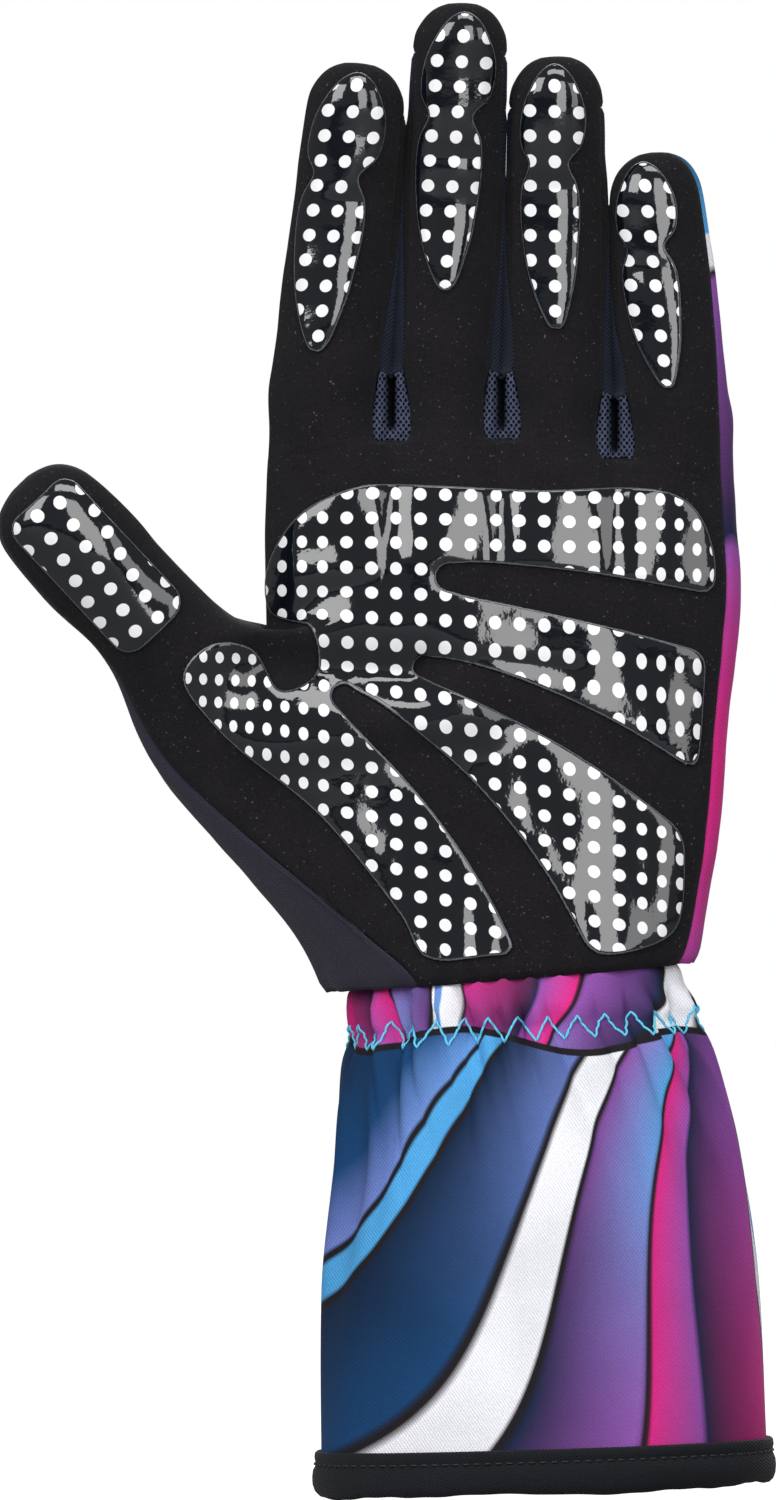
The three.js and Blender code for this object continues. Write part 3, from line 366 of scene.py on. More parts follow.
def root_radius(finger):
    return ((finger["web_next"] - finger["web"]) * PALM_WIDTH - FINGER_GAP) / 2


def palm_section(up):
    left, right = (read_table(PALM_SECTIONS, "up", side, up) * PALM_WIDTH for side in ("left", "right"))
    front, back = (read_table(PALM_SECTIONS, "up", side, up) * PALM_DEPTH for side in ("front", "back"))
    return {"middle": (left + right) / 2, "half": (right - left) / 2, "front": front, "back": back}


def section_point(section, angle, z):
    """A point of a rounded section, where angle 0 is its little finger side and 90 degrees its back."""

    def bulge(value):
        return math.copysign(abs(value) ** (2 / SQUARENESS), value)

    depth = section["front"] if math.sin(angle) < 0 else section["back"]
    return at(section["middle"] + section["half"] * bulge(math.cos(angle)), depth * bulge(math.sin(angle)), z)


def section_depth(section, x, side):
    share = min(abs(x - section["middle"]) / section["half"], 1)
    depth = section["front"] if side < 0 else section["back"]
    return side * depth * (1 - share**SQUARENESS) ** (1 / SQUARENESS)


def on_row(x, y, up):
    return at(x, y, lerp(lower_edge(x), web_height_at(x), up))


def turn_at(up):
    return smooth((up - KNUCKLES_START) / (1 - KNUCKLES_START))


def stretch_at(index, up):
    """Where a finger's stretch of the palm starts and ends across, at a share of the height."""
    finger = FINGERS[index]
    section = palm_section(up)
    top_section = palm_section(1)
    seam = (1 - math.sin(SEAM_ANGLE)) * root_radius(finger) + FINGER_GAP / 2
    edge_angle = LITTLE_SEAM_ANGLE if index == 3 else SEAM_ANGLE
    rim = section["half"] * (1 - math.sin(edge_angle) ** (2 / SQUARENESS))
    outer = lerp(rim, seam, turn_at(up))
    inner = read_table(BRIDGES, "up", "half", up) * GUSSET_WIDTH
    spread = min(section["half"] / top_section["half"], 1)

    def across(web):
        return section["middle"] + (web * PALM_WIDTH - top_section["middle"]) * spread

    start = section["middle"] - section["half"] + outer if index == 0 else across(finger["web"]) + inner
    end = section["middle"] + section["half"] - outer if index == 3 else across(finger["web_next"]) - inner
    return start, end, section


def palm_point(index, place, up, side):
    start, end, section = stretch_at(index, up)
    turn = turn_at(up)
    angle = SEAM_ANGLE * (2 * place - 1)
    spaced = lerp(2 * place - 1, math.sin(angle) / math.sin(SEAM_ANGLE), turn)
    x = (start + end) / 2 + (end - start) / 2 * spaced
    finger_depth = side * root_radius(FINGERS[index]) * FINGER_DEPTH_SHARE * math.cos(angle)
    return on_row(x, lerp(section_depth(section, x, side), finger_depth, turn), up)


def bridge_point(index, place, up, side):
    wide = clamp((read_table(BRIDGES, "up", "half", up) - 0.1) / 0.3)
    sunk = turn_at(up) * math.sin(math.pi * place) * wide
    point = lerp(palm_point(index, 1, up, side), palm_point(index + 1, 0, up, side), place)
    return point + at(0, -side * sunk, -sunk)


def side_point(edge, place, up):
    finger = FINGERS[0 if edge < 0 else 3]
    section = palm_section(up)
    angle = lerp(SEAM_ANGLE, math.pi - SEAM_ANGLE, place)
    on_palm = section_point(section, angle - math.pi / 2, 0)
    radius = root_radius(finger)
    middle = (finger["web"] + finger["web_next"]) / 2 * PALM_WIDTH
    turn = turn_at(up)
    palm_x = section["middle"] + edge * (on_palm[0] - section["middle"])
    x = lerp(palm_x, middle + edge * (radius * math.sin(angle) + FINGER_GAP / 2), turn)
    return on_row(x, lerp(on_palm[1], -radius * FINGER_DEPTH_SHARE * math.cos(angle), turn), up)


def palm_ring(up):
    """One row of the palm: the front, the little finger side, the back and the thumb side."""
    ring, front, back = [], {}, {}

    def add_across(side, index):
        (front if side < 0 else back)[index] = len(ring)
        for i in range(FRONT_QUADS + 1):
            place = i / FRONT_QUADS
            ring.append(add_point(palm_point(index, place if side < 0 else 1 - place, up, side)))
        bridge = index if side < 0 else index - 1
        if 0 <= bridge <= 2:
            for i in range(1, BRIDGE_QUADS):
                place = i / BRIDGE_QUADS
                ring.append(add_point(bridge_point(bridge, place if side < 0 else 1 - place, up, side)))

    def add_around(edge):
        for i in range(1, SIDE_QUADS):
            place = i / SIDE_QUADS
            ring.append(add_point(side_point(edge, place if edge > 0 else 1 - place, up)))

    for index in range(4):
        add_across(-1, index)
    add_around(1)
    for index in (3, 2, 1, 0):
        add_across(1, index)
    add_around(-1)
    return {"ring": ring, "front": front, "back": back}


def wall_name(index):
    return f"side_wall_{FINGERS[index]['name']}_{FINGERS[index + 1]['name']}"


def gusset_name(index):
    return f"mesh_gusset_{FINGERS[index]['name']}_{FINGERS[index + 1]['name']}"


def palm_panel(row_of, row, i):
    ring, front, back = row_of["ring"], row_of["front"], row_of["back"]
    last_front = front[3] + FRONT_QUADS
    last_back = back[0] + FRONT_QUADS
    if row < THUMB_ROW and (i < FRONT_QUADS or i >= last_back - THUMB_BACK_QUADS):
        return None
    if i >= last_back:
        return "palm_panel" if len(ring) - i <= SIDE_QUADS / 2 else "back_panel"
    if i >= last_front:
        return "back_panel"
    bridge = next((k for k in range(3) if front[k] + FRONT_QUADS <= i < front[k + 1]), None)
    return gusset_name(bridge) if row >= GUSSET_ROW and bridge is not None else "palm_panel"


def add_web(index, top):
    """The web between two fingers. Returns its inner rows, from the palm side to the back."""
    front_start = top["front"][index] + FRONT_QUADS
    back_start = top["back"][index + 1] + FRONT_QUADS
    front_edge = top["ring"][front_start : front_start + BRIDGE_QUADS + 1]
    back_edge = top["ring"][back_start : back_start + BRIDGE_QUADS + 1][::-1]
    middle = gap_middle(index)
    rows = []
    for i in range(1, SIDE_QUADS):
        angle = lerp(SEAM_ANGLE, math.pi - SEAM_ANGLE, i / SIDE_QUADS)
        row = []
        for j in range(BRIDGE_QUADS + 1):
            place = 2 * j / BRIDGE_QUADS - 1
            radius = root_radius(FINGERS[index + (1 if place > 0 else 0)])
            x = middle + place * (FINGER_GAP / 2 + radius * (1 - math.sin(angle)))
            y = -radius * FINGER_DEPTH_SHARE * math.cos(angle)
            row.append(add_point(at(x, y, web_height_at(x) - FINGER_GAP * (1 - abs(place)))))
        rows.append(row)
    every = [front_edge, *rows, back_edge]
    for low, high in zip(every, every[1:]):
        add_strip(low, high, lambda i: wall_name(index))
    return rows


def finger_root(index, top, webs):
    ring, front, back = top["ring"], top["front"], top["back"]
    front_part = ring[front[index] : front[index] + FRONT_QUADS + 1]
    back_part = ring[back[index] : back[index] + FRONT_QUADS + 1]
    far = ring[front[3] + FRONT_QUADS + 1 : back[3]] if index == 3 else [row[0] for row in webs[index]]
    near = ring[back[0] + FRONT_QUADS + 1 :] if index == 0 else [row[-1] for row in webs[index - 1]][::-1]
    return front_part + far + back_part + near


def finger_panel(index, i, in_dome):
    back = FRONT_QUADS + SIDE_QUADS
    near = back + FRONT_QUADS
    if i < FRONT_QUADS:
        return "palm_panel"
    if back <= i < near:
        return "back_panel"
    is_far = i < back
    if is_far and index == 3:
        return "back_panel"
    past_front = i - FRONT_QUADS if is_far else near + SIDE_QUADS - 1 - i
    if in_dome or (index == 0 and not is_far):
        return "palm_panel" if past_front < SIDE_QUADS / 2 else "back_panel"
    return wall_name(index if is_far else index - 1)


def finger_angles(seam):
    parts = (
        (-seam, seam, FRONT_QUADS),
        (seam, math.pi - seam, SIDE_QUADS),
        (math.pi - seam, math.pi + seam, FRONT_QUADS),
        (math.pi + seam, 2 * math.pi - seam, SIDE_QUADS),
    )
    return [lerp(start, end, i / count) for start, end, count in parts for i in range(count)]


class FingerLine:
    """The middle line of a finger: its root, direction and length, and how it bends towards the palm."""

    def __init__(self, finger):
        web, web_next = finger["web"] * PALM_WIDTH, finger["web_next"] * PALM_WIDTH
        ends = [at(x, 0, web_height_at(x)) for x in (web, web_next)]
        root_x = (web + web_next) / 2
        self.finger = finger
        self.root = at(root_x, 0, (ends[0][2] + ends[1][2]) / 2)
        self.axis = at(finger["tip"] * PALM_WIDTH - root_x, 0, finger["length"])
        self.root_across = unit(ends[1] - ends[0])
        self.tip_across = unit(at(self.axis[2], 0, -self.axis[0]))

    def point(self, along):
        curl = FINGER_CURL * (along * self.finger["length"] / MIDDLE_LENGTH) ** 2
        return self.root + self.axis * along - at(0, curl, 0)

    def across(self, along):
        return unit(lerp(self.root_across, self.tip_across, smooth(along / 0.4)))

    def radius(self, along):
        return root_radius(self.finger) * lerp(1, self.finger["tip_width"], smooth(along))


def add_finger(index, root_ring):
    finger = FINGERS[index]
    line = FingerLine(finger)
    dome_start = 1 - FINGERTIP_DOME / finger["length"]
    rows = [(share * dome_start, 1.0, False) for share in (0.12, 0.3, 0.52, 0.76, 1.0)]
    rows += [(lerp(dome_start, 1, dome["out"]), dome["width"], True) for dome in DOME]
    low = root_ring
    for along, width, in_dome in rows:
        radius = line.radius(along) * width
        seam = lerp(SEAM_ANGLE, TIP_SEAM_ANGLE, smooth(along / dome_start))
        high = []
        for angle in finger_angles(seam):
            point = line.point(along) + line.across(along) * radius * math.sin(angle)
            point[1] -= radius * FINGER_DEPTH_SHARE * math.cos(angle)
            high.append(add_point(point))
        add_strip(low, high, lambda i: finger_panel(index, i, in_dome), True)
        low = high
    close_tip(low, line.point(1), lambda i: finger_panel(index, i, True))


thumb_axis = at(
    -math.cos(THUMB_RISE) * math.cos(THUMB_FORWARD),
    -math.sin(THUMB_FORWARD),
    math.sin(THUMB_RISE) * math.cos(THUMB_FORWARD),
)
thumb_across = at(math.sin(THUMB_RISE), 0, math.cos(THUMB_RISE))
thumb_front = unit(np.cross(thumb_across, thumb_axis))


def thumb_point(along):
    return THUMB_ROOT + thumb_axis * along * THUMB_LENGTH


def thumb_opening(rings):
    """The edge of the thumb's opening: over the top, down the back, under it and up the front."""
    size = len(rings[0]["ring"])
    last_back = rings[0]["back"][0] + FRONT_QUADS
    sweep = [(i + size) % size for i in range(FRONT_QUADS, last_back - THUMB_BACK_QUADS - size - 1, -1)]
    back_seam = sweep[-1]

    def place(vertex, beside, side):
        return vertex, unit(points[vertex] - points[beside]), side

    edge = []
    for k, i in enumerate(sweep):
        side = "top_front" if k < FRONT_QUADS else "top"
        edge.append(place(rings[THUMB_ROW]["ring"][i], rings[THUMB_ROW + 1]["ring"][i], side))
    for row in range(THUMB_ROW - 1, 0, -1):
        edge.append(place(rings[row]["ring"][back_seam], rings[row]["ring"][back_seam - 1], "back"))
    edge += [(rings[0]["ring"][i], at(0, 0, 1), "bottom") for i in reversed(sweep)]
    for row in range(1, THUMB_ROW):
        edge.append(place(rings[row]["ring"][FRONT_QUADS], rings[row]["ring"][FRONT_QUADS + 1], "front"))
    return edge, FRONT_QUADS + SIDE_QUADS // 2, 2 * (len(sweep) - 1) + THUMB_ROW


def even_out(values, times):
    values = np.array(values)
    for _ in range(times):
        values = (2 * values + np.roll(values, 1, 0) + np.roll(values, -1, 0)) / 4
    return values


def add_thumb(rings):
    edge, index_seam, wrist_seam = thumb_opening(rings)
    size = len(edge)

    def panel_of(i):
        return "palm_panel" if i < index_seam or i >= wrist_seam else "thumb_side_panel"

    def angle_of(i):
        if index_seam <= i < wrist_seam:
            share = (i - index_seam) / (wrist_seam - index_seam)
            return lerp(THUMB_SEAMS["index"], 2 * math.pi - THUMB_SEAMS["wrist"], share)
        place = (i + size - wrist_seam) % size
        return lerp(-THUMB_SEAMS["wrist"], THUMB_SEAMS["index"], place / (size - wrist_seam + index_seam))

    def section_ring(along, width, depth):
        return [
            thumb_point(along)
            + thumb_across * width * THUMB_WIDTH * math.sin(angle_of(i)) / 2
            + thumb_front * depth * THUMB_DEPTH * math.cos(angle_of(i)) / 2
            for i in range(size)
        ]

    first = THUMB_SECTIONS[0]
    goal = section_ring(first["along"], first["width"], first["depth"])
    leave, meet = [], []
    for _, out, side in edge:
        flow = THUMB_FLOW[side]
        leave.append(unit(lerp(out, thumb_axis, flow["lean"])) * flow["pull"] * THUMB_LENGTH)
        meet.append(unit(lerp(thumb_axis, at(0, 0, 1), flow["rise"])) * flow["push"] * THUMB_LENGTH)
    leave, meet = even_out(leave, 3), even_out(meet, 3)
    starts = [points[vertex] for vertex, _, _ in edge]
    low = [vertex for vertex, _, _ in edge]

    def add_row(ring):
        nonlocal low
        high = [add_point(point) for point in ring]
        add_strip(low, high, panel_of, True)
        low = high

    for t in THUMB_FLOW_ROWS:
        add_row([
            lerp(starts[i], goal[i], smooth(t)) + leave[i] * t * (1 - t) ** 2 + meet[i] * t * t * (t - 1)
            for i in range(size)
        ])
    for row in THUMB_SECTIONS[1:]:
        add_row(section_ring(row["along"], row["width"], row["depth"]))
    last = THUMB_SECTIONS[-1]
    for dome in DOME:
        along = lerp(last["along"], 1, dome["out"])
        add_row(section_ring(along, last["width"] * dome["width"], last["depth"] * dome["width"]))
    close_tip(low, thumb_point(1), panel_of)


rings = [palm_ring(up) for up in PALM_ROWS]
for row, (low_ring, high_ring) in enumerate(zip(rings, rings[1:])):
    add_strip(low_ring["ring"], high_ring["ring"], lambda i: palm_panel(rings[row], row, i), True)
webs = [add_web(index, rings[-1]) for index in range(3)]
for index in range(4):
    add_finger(index, finger_root(index, rings[-1], webs))
add_thumb(rings)


# The refined surface of the hand


def read_values(items, key, width=3, kind=float):
    """A value of every item of a mesh, as an array. A width is how many numbers each value has."""
    values = np.empty(len(items) * width, kind)
    items.foreach_get(key, values)
    return values.reshape(-1, width) if width > 1 else values


def mesh_corners(mesh):
    return read_values(mesh.loops, "vertex_index", 1, int)


class Surface:
    """Points, outward normals and faces of a surface as arrays, with the panel number of each face."""

    def __init__(self, mesh):
        self.points = read_values(mesh.vertices, "co")
        self.normals = read_values(mesh.vertices, "normal")
        self.faces = mesh_corners(mesh).reshape(-1, 4)
        self.panels = read_values(mesh.polygons, "material_index", 1, int)

    def is_on(self, panel):
        """Which faces belong to a panel."""
        return self.panels == PANELS.index(panel)

    def points_on(self, panel):
        """The numbers of the points of a panel."""
        return np.unique(self.faces[self.is_on(panel)])


def new_mesh(name, mesh_points, faces):
    mesh = bpy.data.meshes.new(name)
    mesh.from_pydata(np.asarray(mesh_points).tolist(), [], [list(map(int, face)) for face in faces])
    return mesh


def refine(cage_points, cage_quads, panel_names, levels):
    """A smooth surface through the cage's points."""
    target = np.array(cage_points)
    cage = new_mesh("hand_cage", target, [corners for corners, _ in cage_quads])
    cage.polygons.foreach_set("material_index", [panel_names.index(panel) for _, panel in cage_quads])
    holder = bpy.data.objects.new("hand_cage", cage)
    bpy.context.scene.collection.objects.link(holder)
    smoother = holder.modifiers.new("refine", "SUBSURF")

    def evaluated(level):
        smoother.levels = smoother.render_levels = level
        cage.update()
        bpy.context.view_layer.update()
        return holder.evaluated_get(bpy.context.evaluated_depsgraph_get())

    moved = target.copy()
    for _ in range(3):
        result = evaluated(1)
        moved += target - read_values(result.to_mesh().vertices, "co")[: len(target)]
        result.to_mesh_clear()
        cage.vertices.foreach_set("co", moved.ravel())
    result = evaluated(levels)
    surface = Surface(result.to_mesh())
    result.to_mesh_clear()
    bpy.data.objects.remove(holder)
    bpy.data.meshes.remove(cage)
    return surface


def renew_normals(surface):
    """Gives a surface the normals of its moved points."""
    mesh = new_mesh("measured", surface.points, surface.faces)
    surface.normals = read_values(mesh.vertices, "normal")
    bpy.data.meshes.remove(mesh)


def relax(surface, near, reach, times):
    """Evens out the points that are close to any of some places."""
    free = np.min([np.linalg.norm(surface.points - place, axis=1) for place in near], axis=0) < reach
    used, compact = np.unique(surface.faces[free[surface.faces].any(1)], return_inverse=True)
    compact = compact.reshape(-1, 4)
    place, loose = surface.points[used], free[used]
    share = np.bincount(compact.ravel(), minlength=len(used))
    for _ in range(times):
        middles = np.repeat(place[compact].mean(1), 4, axis=0)
        total = [np.bincount(compact.ravel(), middles[:, k], len(used)) for k in range(3)]
        place[loose] = (np.array(total).T / share[:, None])[loose]
    surface.points[used] = place


def noise_at(places, size, seed=0.0):
    """Smooth noise between about -1 and 1 at each place, with bumps of a given size in millimetres."""
    shift = Vector((seed, seed * 1.7, -seed))
    return np.array([noise.noise(Vector(place) / size + shift) for place in places])


def near_line(places, start, end):
    """How far each place is from a line between two ends, in the plane of the palm."""
    flat = places[:, [0, 2]]
    start, end = np.array(start), np.array(end)
    along = end - start
    share = np.clip((flat - start) @ along / (along @ along), 0, 1)
    return np.linalg.norm(flat - start - share[:, None] * along, axis=1)


def crease(surface):
    """Moves the surface in and out along its creases."""
    for row in CREASES:
        facing = smooth((row["side"] * surface.points[:, 1] - 5) / 7)
        off = near_line(surface.points, (row["x0"], row["z0"]), (row["x1"], row["z1"]))
        surface.points[:, 1] += row["side"] * row["out"] * facing * hump(off, row["spread"])


def finger_gap_places(surface):
    """The points of the side walls, each with where the fingers meet there and how far it goes to it."""
    found = []
    for index in range(3):
        used = surface.points_on(wall_name(index))
        place = surface.points[used]
        lines = [FingerLine(FINGERS[index + k]) for k in (0, 1)]
        height = place[:, 2]
        middles, radii = [], []
        for line in lines:
            share = np.clip((height - line.root[2]) / line.axis[2], 0, 1)
            middles.append(line.root[0] + line.axis[0] * share)
            radii.append(root_radius(line.finger) * lerp(1, line.finger["tip_width"], smooth(share)))
        far, near = middles[0] + radii[0], middles[1] - radii[1]
        meet = (far + near) / 2
        is_near = place[:, 0] > meet
        edge = np.where(is_near, near, far)
        seam = np.where(is_near, middles[1] - radii[1] * 0.86, middles[0] + radii[0] * 0.86)
        reach = smooth(1.25 * (place[:, 0] - seam) / (edge - seam))
        fade = smooth((FINGERS_PART[index] - height) / 7)
        found.append((used, meet + np.where(is_near, -0.12, 0.12), reach * fade))
    return found


def close_finger_gaps(surface, gap_places):
    """Pads the side walls out until neighbouring fingers touch, up to where they part."""
    for used, meet, share in gap_places:
        surface.points[used, 0] = lerp(surface.points[used, 0], meet, share)


def fold_gussets(surface):
    """Folds each gusset in along its middle, between two soft rolls."""
    for index in range(3):
        used = surface.points_on(gusset_name(index))
        place = surface.points[used]
        off = place[:, 0] - gap_middle(index)
        down = (web_height_at(gap_middle(index)) - place[:, 2]) / GUSSET_LENGTH
        crease_depth = GUSSET_FOLD * np.exp(-((off / 0.8) ** 4)) * smooth((0.82 - down) / 0.16)
        roll = GUSSET_ROLL * hump(np.abs(off) - 1.9, 0.9) * smooth((0.88 - down) / 0.12)
        surface.points[used, 1] += crease_depth - roll


def seam_distance(surface):
    """How far each point is from the nearest seam between two panels."""
    count = len(surface.points)
    low = np.full(count, 10**6)
    high = np.full(count, -1)
    for corner in range(4):
        np.minimum.at(low, surface.faces[:, corner], surface.panels)
        np.maximum.at(high, surface.faces[:, corner], surface.panels)
    on_seam = np.flatnonzero(low != high)
    tree = KDTree(len(on_seam))
    for i in on_seam:
        tree.insert(surface.points[i], int(i))
    tree.balance()
    return np.array([tree.find(point)[2] for point in surface.points])


def bridge_middles():
    """Places down the palm and the back, in line with the gaps between fingers."""
    stretches = ((-1, GUSSET_START - 0.004), (1, 0.97))
    return [
        bridge_point(index, 0.5, up, side)
        for side, end in stretches
        for index in range(3)
        for up in np.arange(0.1, end, 0.012)
    ]


def shorten_gussets(surface):
    """Gives the narrow tail of each gusset to the palm, so that the gusset ends as a drop."""
    heights = surface.points[surface.faces][:, :, 2].mean(1)
    for index in range(3):
        mine = surface.is_on(gusset_name(index))
        low, high = heights[mine].min(), heights[mine].max()
        surface.panels[mine & (heights < lerp(low, high, GUSSET_TAIL))] = PANELS.index("palm_panel")


def palm_places(surface, start, end, count=9):
    """Places on the palm's outside, in a line between two ends."""
    places = []
    for x, z in np.linspace(start, end, count):
        near = surface.points[np.hypot(surface.points[:, 0] - x, surface.points[:, 2] - z) < 1.5]
        places.append(near[near[:, 1].argmin()])
    return places


PANELS = ["palm_panel", "back_panel", "thumb_side_panel"]
PANELS += [wall_name(index) for index in range(3)] + [gusset_name(index) for index in range(3)]

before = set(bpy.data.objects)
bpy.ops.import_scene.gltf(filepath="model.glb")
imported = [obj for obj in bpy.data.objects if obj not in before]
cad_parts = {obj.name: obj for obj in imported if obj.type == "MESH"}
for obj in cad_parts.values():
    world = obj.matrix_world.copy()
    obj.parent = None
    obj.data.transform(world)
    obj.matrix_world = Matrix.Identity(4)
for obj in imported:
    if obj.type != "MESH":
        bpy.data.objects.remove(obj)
cad_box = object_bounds()

hand = refine(points, quads, PANELS, REFINE_LEVELS)
shorten_gussets(hand)
tips = [FingerLine(finger).point(1) for finger in FINGERS] + [thumb_point(1)]
relax(hand, tips, 3.0, 160)
relax(hand, bridge_middles(), 3.0, 90)
for start, end in THUMB_FOLDS:
    relax(hand, palm_places(hand, start, end), 7.0, 150)
renew_normals(hand)
gap_places = finger_gap_places(hand)
crease(hand)
off_seam = seam_distance(hand)
slack = 0.32 * noise_at(hand.points, 17.0) + 0.16 * noise_at(hand.points, 7.0, 3.0)
seam_sink = 0.38 * hump(off_seam, 0.7) - 0.12 * hump(off_seam - 2.4, 1.3)
above_edge = hand.points[:, 2] - lower_edge(hand.points[:, 0])
around = np.arctan2(hand.points[:, 1], hand.points[:, 0])
edge_puckers = 0.45 * np.exp(-above_edge / 7.0) * np.sin(24 * around + 3 * noise_at(hand.points, 30.0, 8.0))
edge_roll = -0.8 * hump(above_edge, 1.4)
hand.points += hand.normals * (slack - seam_sink + edge_puckers + edge_roll)[:, None]
fold_gussets(hand)
close_finger_gaps(hand, gap_places)
renew_normals(hand)


# Pieces

pieces = {}


def link_piece(name, data):
    """A piece of the glove from its mesh or curve."""
    piece = bpy.data.objects.new(name, data)
    bpy.context.scene.collection.objects.link(piece)
    pieces[name] = piece
    return piece


def add_flat_places(mesh, name, places):
    """Gives a mesh flat places under a name, two numbers for each point."""
    layer = mesh.uv_layers.new(name=name)
    layer.data.foreach_set("uv", np.asarray(places, float)[mesh_corners(mesh)].ravel())


def add_object(name, mesh_points, faces, material, **flat_places):
    """A smooth shaded object. Points are in millimetres. Each flat place has two numbers for each point."""
    mesh = new_mesh(name, np.asarray(mesh_points) * MM, faces)
    mesh.materials.append(material)
    mesh.shade_smooth()
    for key, places in flat_places.items():
        add_flat_places(mesh, key, places)
    return link_piece(name, mesh)


def rim_edges(faces):
    """The edges of a set of faces that only one of them has, in their order."""
    pairs = np.concatenate([faces[:, [k, (k + 1) % faces.shape[1]]] for k in range(faces.shape[1])])
    size = pairs.max() + 1
    forward = pairs[:, 0] * size + pairs[:, 1]
    backward = pairs[:, 1] * size + pairs[:, 0]
    return pairs[~np.isin(forward, backward)]


def thicken(surface_points, normals, faces, wall):
    """A closed wall: the surface, its inner side and the rim between them."""
    count = len(surface_points)
    both = np.vstack([surface_points, surface_points - normals * wall])
    rim = rim_edges(faces)
    sides = np.column_stack([rim[:, 1], rim[:, 0], rim[:, 0] + count, rim[:, 1] + count])
    return both, np.vstack([faces, faces[:, ::-1] + count, sides])


def panel_piece(name, panel, wall, material, middle=None):
    """One sewn panel of the hand. With a middle line, its flat places are how far off it and how high."""
    faces = hand.faces[hand.is_on(panel)]
    used, compact = np.unique(faces, return_inverse=True)
    faces = compact.reshape(-1, 4)
    panel_points = hand.points[used].copy()
    middles = panel_points[faces].mean(axis=1)
    rim = np.unique(rim_edges(faces))
    pull = np.zeros_like(panel_points)
    for corner in range(4):
        np.add.at(pull, faces[:, corner], middles - panel_points[faces[:, corner]])
    lengths = np.linalg.norm(pull[rim], axis=1)[:, None]
    panel_points[rim] += 0.12 * pull[rim] / np.maximum(lengths, 1e-9)
    both, every = thicken(panel_points, hand.normals[used], faces, wall)
    flat = {} if middle is None else {"cloth": (both - at(middle, 0, 0))[:, [0, 2]]}
    return add_object(name, both, every, material, **flat)


# Grip pads, cut by an outline and laid on the palm


class Outline:
    """A closed line in a plane. inside is above 0 within it and grows by one a millimetre."""

    def __init__(self, corners):
        self.corners = np.asarray(corners, float)

    def inside(self, places):
        start = self.corners
        along = np.roll(start, -1, 0) - start
        from_start = places[:, None, :] - start[None]
        share = np.clip((from_start * along).sum(2) / (along**2).sum(1), 0, 1)
        near = np.linalg.norm(from_start - share[..., None] * along, axis=2).min(1)
        end = start + along
        spans = (start[:, 1] > places[:, None, 1]) != (end[:, 1] > places[:, None, 1])
        slope = along[:, 0] / np.where(along[:, 1] == 0, 1e-12, along[:, 1])
        crossing = start[:, 0] + slope * (places[:, None, 1] - start[:, 1])
        hits = (spans & (places[:, None, 0] < crossing)).sum(1)
        return np.where(hits % 2 == 1, near, -near)


def closed_curve(corners, count):
    """Places on a smooth closed line through its corners, evenly spaced by corner."""
    corners = np.asarray(corners, float)
    size = len(corners)
    line = []
    for k in range(size):
        a, b, c, d = (corners[(k + shift) % size] for shift in (-1, 0, 1, 2))
        ab, bc, cd = (max(np.linalg.norm(q - p), 1e-6) ** 0.5 for p, q in ((a, b), (b, c), (c, d)))
        start = (b - a) / ab - (c - a) / (ab + bc) + (c - b) / bc
        end = (c - b) / bc - (d - b) / (bc + cd) + (d - c) / cd
        for t in np.linspace(0, 1, count, endpoint=False):
            held = lerp(b, c, smooth(t))
            line.append(held + bc * (start * t * (1 - t) ** 2 + end * t * t * (t - 1)))
    return np.array(line)


def slot_outline(slot):
    start = np.array((slot["across"] * PALM_WIDTH, slot["up"] * CROTCH_HEIGHT))
    end = np.array((slot["to_across"] * PALM_WIDTH, slot["to_up"] * CROTCH_HEIGHT))
    along = end - start
    length = np.linalg.norm(along)
    side = np.array((-along[1], along[0])) / length
    bend = (start + end) / 2 + side * 2 * slot["sag"] * length

    def line(share):
        return start * (1 - share) ** 2 + bend * 2 * share * (1 - share) + end * share**2

    shares = np.linspace(0, 1, 17)
    widths = lerp(slot["width"], slot["width_end"], shares**SLOT_WIDENING)
    edges = [
        [line(share) + side * sign * width / 2 for share, width in zip(shares, widths)] for sign in (-1, 1)
    ]
    half = slot["width"] / 2
    round_end = [
        start + side * half * math.sin(turn) - along / length * half * math.cos(turn)
        for turn in np.radians(np.linspace(-75, 75, 9))
    ]
    return Outline(edges[0][::-1] + round_end + edges[1])


def soft_min(a, b, width):
    """The lower of two distances, with the corner between them rounded."""
    share = np.clip(0.5 + 0.5 * (b - a) / width, 0, 1)
    return lerp(b, a, share) - width * share * (1 - share)


class SlottedOutline(Outline):
    """The palm pad's outline, with slots cut into it."""

    def __init__(self, corners, slots):
        super().__init__(corners)
        self.slots = slots

    def inside(self, places):
        inside = super().inside(places)
        for slot in self.slots:
            inside = soft_min(inside, -slot.inside(places), SLOT_ROUNDING)
        return inside


palm_corners = [(row["across"] * PALM_WIDTH, row["up"] * CROTCH_HEIGHT) for row in PALM_GRIP]
palm_outline = SlottedOutline(closed_curve(palm_corners, 8), [slot_outline(slot) for slot in PALM_SLOTS])


def finger_outline(finger):
    line = FingerLine(finger)

    def edge(side, sign):
        places = []
        for row in FINGER_GRIP:
            share = lerp(finger["grip_top"], finger["grip_end"], row["along"])
            middle = lerp(finger["shift_top"], finger["shift_end"], row["along"])
            off = middle + sign * row[side] * finger["grip_width"] / 2
            places.append((line.point(share) + line.across(share) * off * FINGER_GRIP_WIDTH)[[0, 2]])
        return places

    return Outline(closed_curve(edge("left", -1) + edge("right", 1)[1:-1][::-1], 5))


